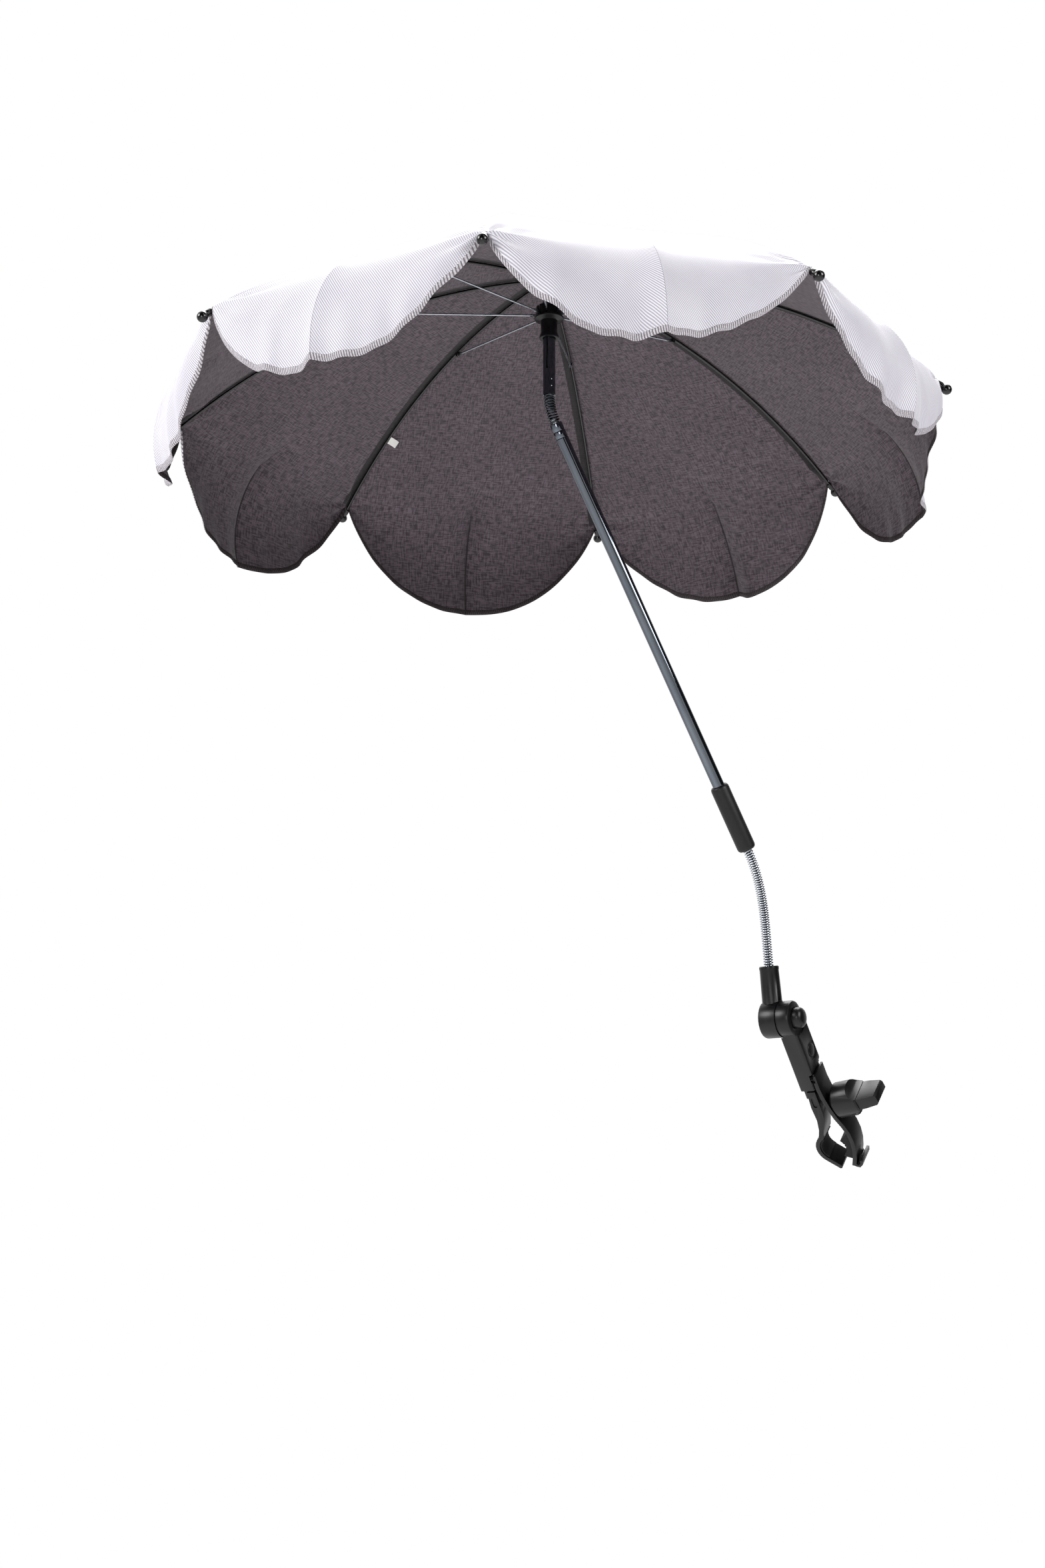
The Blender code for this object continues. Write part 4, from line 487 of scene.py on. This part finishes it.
SPRING_BOTTOM = POLE_BASE + POLE_UP * POLE_LENGTH
SPRING_TOP = SPRING_BOTTOM + (POLE_UP + UP).normalized() * TILT_GAP
ARC_CENTRE_Z = CROWN_HEIGHT - RIB_ARC_R
CLOTH_ARC_R = RIB_ARC_R + CLOTH_OFFSET
TIP_ANGLE = math.asin(RIM_R / RIB_ARC_R)


# Canopy cloth


def lobe_depth(index, across):
    """How far a lobe hangs past the line between its rib tips, from -1 to 1 across the gore."""
    depth, _, skew = LOBES[index][:3]
    shifted = across - skew * (1 - across**2)
    return depth * MM * (1 - min(abs(shifted), 1) ** 2.3) ** 0.8


def folds(index, across, down):
    """How far the cloth stands out in its swells, its pressed crease and the ruffles of its edge."""
    crease, *waves = LOBES[index][3:]
    swell = 0.0
    for count, (size, phase) in zip(SWELL_COUNTS, waves):
        swell += size * math.sin(math.pi * count * across + phase)
    slack = 0.1 * min(down, 1) ** 4 + 0.9 * max(down - 1, 0)
    pressed = min(max((down - CREASE_TOP) / CREASE_GROWTH, 0), 1)
    ridge = CREASE_GAIN * crease * pressed * math.exp(-abs(across) / CREASE_WIDTH)
    ruffle = 0.0
    for count, (_, phase) in zip(RUFFLE_COUNTS, waves):
        ruffle += math.sin(math.pi * count * across + phase + 0.8 * down)
    ruffle *= RUFFLE_GAIN * max(0, down - RUFFLE_TOP) ** 1.5
    return (slack * swell + ridge + ruffle) * MM


def tip_wrinkles(index, beside, below):
    """The fine wrinkles that run out from a rib's tip, from how far a point lies beside and below it."""
    phase = LOBES[index][6][1]
    far = math.hypot(beside, below)
    spokes = math.sin(PULL_SPOKES * math.atan2(below, beside) + phase)
    return PULL_RISE * spokes * far * math.exp(-far / PULL_REACH) * min(1, beside / PULL_EDGE)


def gore_place(index, across, down):
    """A point of a gore in its own frame, X through its middle, and how far it is along the cloth from
    the crown. down is 0 at the crown, 1 at the end of the seams and 2 at the edge of the lobe."""
    start = math.asin(CLOTH_START_R / CLOTH_ARC_R)
    end = TIP_ANGLE - CLOTH_TIP_GAP / RIB_ARC_R
    run = min(down, 1)
    angle = start + (end - start) * run
    radius = CLOTH_ARC_R * math.sin(angle)
    height = ARC_CENTRE_Z + CLOTH_ARC_R * math.cos(angle)
    point = Vector((radius * math.cos(HALF_GORE), across * radius * math.sin(HALF_GORE), height))
    outward = Vector((math.sin(angle), 0, math.cos(angle)))
    length = CLOTH_ARC_R * (angle - start)
    if down > 1:
        lobe = down - 1
        depth = lobe_depth(index, across) * lobe
        slope = math.atan(math.tan(end) / math.cos(HALF_GORE))
        turn = slope + (LOBES[index][1] * DEG - slope) * lobe / 2
        point += Vector((math.cos(turn), 0, -math.sin(turn))) * depth
        outward = Vector((math.sin(turn), 0, math.cos(turn)))
        length += depth
    inner = max(0, 1 - across**2)
    point += outward * folds(index, across, down) * inner**0.6
    point -= outward * GORE_SAG * inner * math.sin(math.pi * run)
    beside = (1 - abs(across)) * RIM_R * math.sin(HALF_GORE)
    below = length - CLOTH_ARC_R * (end - start)
    point += outward * tip_wrinkles(index, beside, below)
    return point, length


def gore_frame(index):
    turn = rib_angle(index) + HALF_GORE
    return Matrix.Translation(SPRING_TOP) @ Matrix.Rotation(turn, 4, "Z")


COLUMNS = 44
ROWS = 44
LOBE_ROWS = 18


def half_gore_grid(index, side):
    """Half of a gore as a thin sheet, from its middle to a rib, with its maps in metres: weave along and
    across the cloth, and borders, the distances to the seam and to the hem."""
    rows = ROWS + LOBE_ROWS
    bm = bmesh.new()
    bmesh.ops.create_grid(bm, x_segments=COLUMNS, y_segments=rows, size=1)
    weave = bm.loops.layers.uv.new("weave")
    borders = bm.loops.layers.uv.new("borders")
    maps = {}
    place = gore_frame(index)
    for vert in bm.verts:
        share = (vert.co.x + 1) / 2
        across = side * math.sin(math.pi / 2 * share)
        row = (vert.co.y + 1) / 2 * rows
        down = row / ROWS if row <= ROWS else 1 + (row - ROWS) / LOBE_ROWS
        point, length = gore_place(index, across, down)
        width = abs(point.x) * math.tan(HALF_GORE)
        to_seam = width * (1 - abs(across)) if down <= 1 else 1.0
        to_hem = lobe_depth(index, across) * (2 - down) if down > 1 else 1.0
        maps[vert] = ((point.y, length), (to_seam if side < 0 else 1.0, to_hem))
        vert.co = place @ point
    for face in bm.faces:
        for loop in face.loops:
            loop[weave].uv, loop[borders].uv = maps[loop.vert]
    bmesh.ops.remove_doubles(bm, verts=bm.verts, dist=CLOTH_WELD)
    bmesh.ops.recalc_face_normals(bm, faces=bm.faces)
    if sum(f.normal.z for f in bm.faces) < 0:
        bmesh.ops.reverse_faces(bm, faces=bm.faces)
    return bm


def walled(obj, thickness, rim):
    """Gives a sheet its thickness and makes that its mesh."""
    wall = obj.modifiers.new("Cloth", "SOLIDIFY")
    wall.thickness = thickness
    wall.offset = 0
    wall.material_offset = 1
    wall.material_offset_rim = rim
    bpy.context.view_layer.update()
    mesh = bpy.data.meshes.new_from_object(obj.evaluated_get(bpy.context.evaluated_depsgraph_get()))
    obj.modifiers.clear()
    old, obj.data = obj.data, mesh
    bpy.data.meshes.remove(old)
    mesh.set_sharp_from_angle(angle=50 * DEG)


def on_rib(obj):
    """Bakes the cloth's place into its mesh."""
    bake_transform(obj)


def make_half_gore(index, side):
    number = index + 1
    name = f"canopy_gore_{number}_{'left' if side < 0 else 'right'}"
    bm = half_gore_grid(index, side)
    area = sum(f.calc_area() for f in bm.faces)
    cloth = piece(name, bm, ["outside", "inside"])
    walled(cloth, CLOTH_WALL, 1)
    on_rib(cloth)
    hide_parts(f"canopy_gore_{number}")
    _, length = gore_place(index, 0, 2)


# The overlocked edge's section, from the outside round to the inside: how far in from the edge, and how
# far off the middle of the cloth, in millimetres
HEM_SECTION = (
    (4.8, 0.22),
    (4.3, 0.62),
    (2.2, 0.7),
    (0.4, 0.68),
    (-0.5, 0.0),
    (0.4, -0.68),
    (2.2, -0.7),
    (4.3, -0.62),
    (4.8, -0.22),
)


def hem_point(index, across, inset, lift):
    """A point of the edge's section, laid on the cloth."""
    depth = max(lobe_depth(index, across), 0.5 * MM)
    down = 2 - min(inset * MM / depth, 0.9)
    point, _ = gore_place(index, across, down)
    near, _ = gore_place(index, across, down - 0.03)
    beside, _ = gore_place(index, across * 0.99 - 0.002, down)
    normal = (point - near).cross(point - beside).normalized()
    if normal.x + normal.z < 0:
        normal.negate()
    return point + normal * lift * MM


def make_hem(index, side):
    """Half a lobe's overlocked edge: thread laid in slanting loops over both faces and round the edge."""
    end = "left" if side < 0 else "right"
    steps = 90
    bm = bmesh.new()
    rows = len(HEM_SECTION) - 1
    bmesh.ops.create_grid(bm, x_segments=steps, y_segments=rows, size=1)
    stitch = bm.loops.layers.uv.new("stitch")
    place = gore_frame(index)
    maps = {}
    for vert in bm.verts:
        share = (vert.co.x + 1) / 2
        row = round((vert.co.y + 1) / 2 * rows)
        across = side * math.sin(math.pi / 2 * share) * 0.997
        inset, lift = HEM_SECTION[row]
        maps[vert] = (across * HEM_WIDTH, row * MM)
        vert.co = place @ hem_point(index, across, inset, lift)
    for face in bm.faces:
        face.material_index = 1 if sum(maps[v][1] for v in face.verts) / 4 > 4.2 * MM else 0
        for loop in face.loops:
            loop[stitch].uv = maps[loop.vert]
    bmesh.ops.recalc_face_normals(bm, faces=bm.faces)
    band = piece(f"hem_{index + 1}_{end}", bm, ["thread_light", "thread_dark"], 70)
    on_rib(band)


# Springs


def helix(centre_line, length, tangent_axis, reach, pitch, per_turn):
    """The points of a coil round a bent centre line."""
    turns = length / pitch
    steps = int(turns * per_turn)
    points = []
    for i in range(steps + 1):
        share = i / steps
        here = centre_line(share)
        ahead = (centre_line(min(share + 0.002, 1)) - centre_line(max(share - 0.002, 0))).normalized()
        side = tangent_axis.cross(ahead).normalized()
        other = ahead.cross(side)
        turn = 2 * math.pi * i / per_turn
        points.append(here + side * reach * math.cos(turn) + other * reach * math.sin(turn))
    return points


NECK_SPAN = (POLE_BASE - SOCKET_MOUTH).length
NECK_CURVE = (
    SOCKET_MOUTH,
    SOCKET_MOUTH + SOCKET_UP * NECK_SPAN * NECK_PULL,
    POLE_BASE - POLE_UP * NECK_SPAN * NECK_PULL,
    POLE_BASE,
)


def neck_point(share):
    """A point of the neck's centre line, with a straight tail in the socket and one in the pole."""
    run = share * (NECK_TAIL + NECK_SPAN + NECK_TAIL)
    if run < NECK_TAIL:
        return SOCKET_MOUTH - SOCKET_UP * (NECK_TAIL - run)
    if run > NECK_TAIL + NECK_SPAN:
        return POLE_BASE + POLE_UP * (run - NECK_TAIL - NECK_SPAN)
    return bezier(NECK_CURVE, (run - NECK_TAIL) / NECK_SPAN)


def make_neck():
    axis = SOCKET_UP.cross(POLE_UP).normalized()
    points = helix(neck_point, NECK_SPAN + 2 * NECK_TAIL, axis, NECK_COIL_R, NECK_PITCH, 16)
    winding = swept("neck_winding", points, WIRE_R, 8, ["winding"])
    core_line = [neck_point(i / 24) for i in range(25)]
    core = swept("neck_core", core_line, NECK_CORE_R, 12, ["spring"])
    for part, node in ((winding, "gooseneck_winding"), (core, "gooseneck_core")):
        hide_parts(node)
        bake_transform(part)


def make_tilt_spring():
    angle = POLE_UP.angle(UP)
    axis = POLE_UP.cross(UP).normalized()
    arc_r = TILT_GAP / 2 / math.sin(angle / 2)
    centre = SPRING_TOP + axis.cross(UP).normalized() * arc_r
    start = SPRING_BOTTOM - centre

    def line(share):
        return centre + Matrix.Rotation(angle * share, 3, axis) @ start

    points = helix(line, arc_r * angle - 2 * MM, axis, TILT_COIL_R, TILT_PITCH, 20)
    coil = swept("tilt_coil", points, WIRE_R, 8, ["spring"])
    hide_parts("tilt_spring")
    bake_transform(coil)


# Shafts, ribs and tips


def make_shafts():
    """The lower tube with its two rolled grooves, the soft sleeve at its foot, and the cap on the crown."""
    tube = [(5.2, 13), (6, 13), (6, 441)]
    for groove in (441.7, 448.7):
        tube += [(6, groove - 0.9), (5.8, groove - 0.4), (5.65, groove)]
        tube += [(5.8, groove + 0.4), (6, groove + 0.9)]
    tube += [(6, 456.2), (5.8, 456.7), (5.2, 456.7)]
    pole = standing(POLE_BASE, POLE_UP)
    shaft = turned("lower_tube", tube, pole, "chrome", 56, closed=True)
    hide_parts("lower_shaft")
    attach(shaft, "pole")
    sleeve_line = [(6.1, 70), (7.6, 69.8), (8.6, 68.8), (9.1, 67.4), (9.25, 66), (9.25, 4)]
    sleeve_line += [(9.1, 2.6), (8.6, 1.2), (7.6, 0.2), (6.3, 0), (5.6, 0.2)]
    sleeve = turned("soft_sleeve", sleeve_line, pole, "grip", 48)
    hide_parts("grip_sleeve")
    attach(sleeve, "pole")
    crown = standing(SPRING_TOP, UP)
    cap_line = [(0, 140.3), (1.6, 140.2), (3.0, 139.7), (4.2, 138.8), (5.0, 137.4), (5.4, 135.8)]
    cap_line += [(6.2, 131.4), (7.0, 130.1), (8.2, 129.1), (9.4, 127.2), (10.1, 125.8), (10.5, 124.9)]
    cap_line += [(10.4, 123.4), (6.4, 123.3)]
    cap = turned("crown_cap", cap_line, crown, "gloss", 48)
    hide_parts("ferrule_cap")
    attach(cap, "canopy_pole")


def on_arc(angle):
    """A point of a rib's arc, in the rib's own frame."""
    return Vector((RIB_ARC_R * math.sin(angle), 0, ARC_CENTRE_Z + RIB_ARC_R * math.cos(angle)))


def make_rib(index):
    """A rib as a thin round-backed bar with the eye of its stretcher, and the ball tip on its end."""
    number = index + 1
    turn = Matrix.Translation(SPRING_TOP) @ Matrix.Rotation(rib_angle(index), 4, "Z")
    first = math.asin(RIB_END / RIB_ARC_R)
    last = TIP_ANGLE - RIB_END / RIB_ARC_R
    line = [turn @ on_arc(first + (last - first) * i / 40) for i in range(41)]
    bar = swept(f"rib_bar_{number}", line, RIB_BAR_R, 12, ["rib"])
    bm = bmesh.new()
    bm.from_mesh(bar.data)
    eye = turn @ Matrix.Translation(EYE_PLACE) @ Matrix.Rotation(math.pi / 2, 4, "X")
    bmesh.ops.create_cone(
        bm, cap_ends=True, segments=20, radius1=EYE_R, radius2=EYE_R, depth=EYE_WIDTH, matrix=eye
    )
    bm.to_mesh(bar.data)
    bm.free()
    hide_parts(f"rib_{number}")
    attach(bar, f"rib_{number}")
    end = on_arc(TIP_ANGLE)
    out = Vector((math.cos(TIP_ANGLE), 0, -math.sin(TIP_ANGLE)))
    tip_line = [(0, 5), (1.3, 4.83), (2.5, 4.33), (3.54, 3.54), (4.33, 2.5), (4.83, 1.3), (5, 0)]
    tip_line += [(4.83, -1.3), (4.33, -2.5), (3.6, -3.4), (3.0, -4.3), (2.85, -5.1), (3.2, -6)]
    tip_line += [(3.3, -6.6), (3.3, -11), (3.0, -11.5), (0, -11.5)]
    tip = turned(f"ball_tip_{number}", tip_line, turn @ standing(end, out), "gloss", 28)
    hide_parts(f"rib_tip_{number}")
    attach(tip, f"rib_{number}")


LABEL_RIB = 5
LABEL_R = 286 * MM  # how far out it is sewn in
LABEL_OFF = 1.9 * MM  # beside the rib's middle
LABEL_WIDTH = 8 * MM
LABEL_LENGTH = 9 * MM
LABEL_WALL = 0.4 * MM


def make_label():
    """The small blank label that is sewn into a seam beside a rib."""
    turn = Matrix.Translation(SPRING_TOP) @ Matrix.Rotation(rib_angle(LABEL_RIB), 4, "Z")
    angle = math.asin(LABEL_R / RIB_ARC_R)
    foot = on_arc(angle)
    along = Vector((math.cos(angle), 0, -math.sin(angle)))
    out = Vector((math.sin(angle), 0, math.cos(angle)))
    bm = bmesh.new()
    bmesh.ops.create_grid(bm, x_segments=6, y_segments=6, size=1)
    for vert in bm.verts:
        share = (vert.co.x + 1) / 2
        beside = Vector((0, -LABEL_OFF - LABEL_WIDTH * share, 0))
        hang = (0.2 - 3 * share - 2.2 * share**2) * MM
        vert.co = turn @ (foot + along * vert.co.y * LABEL_LENGTH / 2 + beside + out * hang)
    label = piece("blank_label", bm, ["label"])
    walled(label, LABEL_WALL, 0)
    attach(label, f"rib_{LABEL_RIB + 1}")


def make_button_spring():
    """The spring behind the push button, as a still piece on the arm; the real one shortens as the button
    goes in.
    """
    bm = bmesh.new()
    bm.from_mesh(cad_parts["button_spring"].data)
    bmesh.ops.remove_doubles(bm, verts=bm.verts, dist=WELD)
    coil = piece("button_coil", bm, ["spring"], 60)
    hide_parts("button_spring")
    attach(coil, "arm")
    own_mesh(coil)


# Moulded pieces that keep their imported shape: node, body, and the rounding of their edges in millimetres
MOULDED = (
    ("clamp_body", "clamp", 0.4),
    ("moving_jaw", "moving_jaw", 0.4),
    ("knob", "knob", 0.7),
    ("arm", "arm", 0.5),
    ("socket", "swivel", 0.4),
    ("release_button", "release_button", 0.2),
    ("push_button", "push_button", 0.4),
)


# Stage


def look_from(place, aim, roll_up):
    """A matrix for a camera or lamp at a place, looking at a point."""
    back = (place - aim).normalized()
    right = roll_up.cross(back).normalized()
    up = back.cross(right)
    turn = Matrix((right, up, back)).transposed().to_4x4()
    return Matrix.Translation(place) @ turn


LENS = 53.57  # with a sensor 36 mm high
CAMERA_PLACE = Vector((0.9645, -2.1888, -0.1697))
CAMERA_AHEAD = Vector((-0.5081, 0.8324, 0.2215))
CAMERA_UP = Vector((0.1154, -0.1891, 0.9752))

# Each lamp's name, place, aim, size and power, in metres and watts
LAMPS = (
    ("key", (-1.6, -2.6, 1.6), (-0.1, -0.35, 0.55), 1.6, 78),
    ("side", (2.4, -0.6, 1.2), (-0.1, -0.35, 0.5), 1.4, 50),
    ("fill", (0.7, -2.9, 0.1), (-0.1, -0.35, 0.6), 1.2, 19),
    ("top", (-0.4, 0.8, 2.6), (-0.1, -0.35, 0.6), 1.8, 44),
)


def make_camera():
    camera = bpy.data.cameras.new("camera")
    camera.sensor_fit = "VERTICAL"
    camera.sensor_height = 36
    camera.lens = LENS
    camera.clip_end = 50
    obj = bpy.data.objects.new("camera", camera)
    obj.matrix_world = look_from(CAMERA_PLACE, CAMERA_PLACE + CAMERA_AHEAD, CAMERA_UP)
    bpy.context.scene.collection.objects.link(obj)
    bpy.context.scene.camera = obj


def make_lamp(name, place, aim, size, power):
    lamp = bpy.data.lights.new(name, "AREA")
    lamp.shape = "DISK"
    lamp.size = size
    lamp.energy = power
    obj = bpy.data.objects.new(name, lamp)
    obj.matrix_world = look_from(Vector(place), Vector(aim), Vector((0, 0, 1)))
    bpy.context.scene.collection.objects.link(obj)


# The room's walls from -X round through -Y, the camera's side at 0.34, and +X: lamps' soft boxes are
# light and the open room is dark
ROOM_WALLS = (
    (0.0, "e8e8e8"),
    (0.1, "b0b0b0"),
    (0.17, "ffffff"),
    (0.21, "3a3a3a"),
    (0.41, "303030"),
    (0.43, "f4f4f4"),
    (0.46, "f4f4f4"),
    (0.49, "2c2c2c"),
    (0.66, "343434"),
    (0.74, "d8d8d8"),
    (0.84, "ffffff"),
    (1.0, "e8e8e8"),
)


# The room's light from the floor up to the ceiling
ROOM_LEVELS = ((0.0, "b4b4b4"), (0.42, "bcbcbc"), (0.6, "cccccc"), (0.85, "ffffff"))


def make_world(strength):
    """White to the camera. Everything else is lit by a pale room: bright above, dimmer near the floor, and
    with darker walls to the sides, which gives metal and gloss something to show."""
    world = bpy.data.worlds.new("studio")
    bpy.context.scene.world = world
    world.use_nodes = True
    tree = world.node_tree
    heading = add(tree, "ShaderNodeTexCoord").outputs["Generated"]
    parts = add(tree, "ShaderNodeSeparateXYZ", links={"Vector": heading})
    height = add(tree, "ShaderNodeMapRange", links={"Value": parts.outputs[2], "From Min": -1.0})
    level = add(tree, "ShaderNodeValToRGB", links={"Fac": height.outputs[0]}, stops=ROOM_LEVELS)
    round_about = add(tree, "ShaderNodeTexGradient", {"gradient_type": "RADIAL"}, {"Vector": heading})
    room = tinted(tree, level.outputs["Color"], round_about.outputs["Fac"], ROOM_WALLS)
    seen = add(tree, "ShaderNodeLightPath").outputs["Is Camera Ray"]
    colour = add(tree, "ShaderNodeMix", {"data_type": "RGBA"}, {0: seen, 6: room, 7: linear("ffffff")})
    amount = add(tree, "ShaderNodeMapRange", links={"Value": seen, "To Min": strength, "To Max": 1.0})
    shader = tree.nodes["Background"]
    tree.links.new(colour.outputs[2], shader.inputs["Color"])
    tree.links.new(amount.outputs[0], shader.inputs["Strength"])


FLOOR_R = 7


def make_floor(height):
    bm = bmesh.new()
    low = Matrix.Translation((0, 0, height))
    bmesh.ops.create_circle(bm, cap_ends=True, segments=96, radius=FLOOR_R, matrix=low)
    mesh = bpy.data.meshes.new("floor")
    bm.to_mesh(mesh)
    bm.free()
    obj = bpy.data.objects.new("floor", mesh)
    bpy.context.scene.collection.objects.link(obj)
    finish, tree, shader = new_finish("pale_studio_paper")
    place = add(tree, "ShaderNodeTexCoord").outputs["Object"]
    mottle = add(
        tree,
        "ShaderNodeValToRGB",
        links={"Fac": grain(tree, place, 400 * MM)},
        stops=((0.3, "f6f6f6"), (0.7, "fbfbfb")),
    )
    tree.links.new(mottle.outputs["Color"], shader.inputs["Base Color"])
    shader.inputs["Roughness"].default_value = 0.9
    mesh.materials.append(finish)


# Settings, operators and panel


class ClothSettings(bpy.types.PropertyGroup):
    outside: bpy.props.FloatVectorProperty(
        name="Outside",
        description="Colour of the silver outside of the canopy",
        subtype="COLOR",
        size=3,
        min=0,
        max=1,
        default=linear("d6d4da")[:3],
    )
    inside: bpy.props.FloatVectorProperty(
        name="Inside",
        description="Colour of the dark inside of the canopy",
        subtype="COLOR",
        size=3,
        min=0,
        max=1,
        default=linear("645860")[:3],
    )
    twill_pitch: bpy.props.FloatProperty(
        name="Twill pitch",
        description="Distance between the slanting ribs of the cloth",
        unit="LENGTH",
        default=1.8 * MM,
        min=0.5 * MM,
        max=5 * MM,
    )


class StageSettings(bpy.types.PropertyGroup):
    floor_height: bpy.props.FloatProperty(
        name="Floor height",
        description="Height of the studio floor, measured from the middle of the jaws",
        unit="LENGTH",
        default=-1.5,
    )
    ambient: bpy.props.FloatProperty(
        name="Ambient light", description="Strength of the light from all round", default=2.1, min=0, max=4
    )


class PARASOL_OT_canopy(bpy.types.Operator):
    """Make the sixteen half gores of the canopy"""

    bl_idname = "parasol.canopy"
    bl_label = "Canopy"

    def execute(self, context):
        for index in range(RIB_COUNT):
            for side in (-1, 1):
                make_half_gore(index, side)
        return {"FINISHED"}


class PARASOL_OT_hems(bpy.types.Operator):
    """Make the overlocked edges of the lobes and the blank label"""

    bl_idname = "parasol.hems"
    bl_label = "Hems"

    def execute(self, context):
        for index in range(RIB_COUNT):
            for side in (-1, 1):
                make_hem(index, side)
        make_label()
        return {"FINISHED"}


class PARASOL_OT_springs(bpy.types.Operator):
    """Make the gooseneck and the tilt spring"""

    bl_idname = "parasol.springs"
    bl_label = "Springs"

    def execute(self, context):
        make_neck()
        make_tilt_spring()
        return {"FINISHED"}


class PARASOL_OT_frame(bpy.types.Operator):
    """Make the ribs, tips and shafts, and finish the hubs and stretchers"""

    bl_idname = "parasol.frame"
    bl_label = "Frame"

    def execute(self, context):
        make_shafts()
        for index in range(RIB_COUNT):
            make_rib(index)
            node_finish(f"stretcher_{index + 1}", "stretcher")
        node_finish("upper_shaft", "chrome")
        softened("runner", "runner", 0.25, "satin")
        node_finish("top_notch", "satin")
        for node in ("notch_wire", "runner_wire", "tilt_plug_lower", "tilt_plug_upper"):
            node_finish(node, "zinc")
        node_finish("catch_spring", "spring")
        return {"FINISHED"}


class PARASOL_OT_clamp(bpy.types.Operator):
    """Finish the clamp, the arm and the knuckle"""

    bl_idname = "parasol.clamp"
    bl_label = "Clamp"

    def execute(self, context):
        for node, body, width in MOULDED:
            softened(node, body, width, "satin")
        for node, body in (("fixed_jaw_pad", "clamp"), ("moving_jaw_pad", "moving_jaw")):
            softened(node, body, 0.25, "rubber")
        for node in ("jaw_pin", "clamp_screw", "thrust_washer", "knuckle_bolt"):
            node_finish(node, "zinc")
        make_button_spring()
        return {"FINISHED"}


class PARASOL_OT_stage(bpy.types.Operator):
    """Make the camera, the lamps, the floor and the background"""

    bl_idname = "parasol.stage"
    bl_label = "Stage"

    def execute(self, context):
        settings = context.scene.parasol_stage
        make_camera()
        make_world(settings.ambient)
        make_floor(settings.floor_height)
        for lamp in LAMPS:
            make_lamp(*lamp)
        return {"FINISHED"}


class PARASOL_PT_panel(bpy.types.Panel):
    """The sizes, colours and pieces of the parasol"""

    bl_idname = "PARASOL_PT_panel"
    bl_label = "Parasol"
    bl_space_type = "VIEW_3D"
    bl_region_type = "UI"
    bl_category = "Parasol"

    def draw(self, context):
        for settings in (context.scene.parasol_cloth, context.scene.parasol_stage):
            box = self.layout.box()
            for name in settings.__annotations__:
                box.prop(settings, name)
        for name in STEPS:
            self.layout.operator(f"parasol.{name}")


STEPS = ("stage", "canopy", "hems", "springs", "frame", "clamp")
CLASSES = (
    ClothSettings,
    StageSettings,
    PARASOL_OT_canopy,
    PARASOL_OT_hems,
    PARASOL_OT_springs,
    PARASOL_OT_frame,
    PARASOL_OT_clamp,
    PARASOL_OT_stage,
    PARASOL_PT_panel,
)


def register():
    for cls in CLASSES:
        bpy.utils.register_class(cls)
    bpy.types.Scene.parasol_cloth = bpy.props.PointerProperty(type=ClothSettings)
    bpy.types.Scene.parasol_stage = bpy.props.PointerProperty(type=StageSettings)


def unregister():
    del bpy.types.Scene.parasol_stage
    del bpy.types.Scene.parasol_cloth
    for cls in reversed(CLASSES):
        bpy.utils.unregister_class(cls)


def main():
    register()
    bpy.context.scene.view_settings.view_transform = "Standard"
    for name in STEPS:
        getattr(bpy.ops.parasol, name)()


if __name__ == "__main__":
    main()
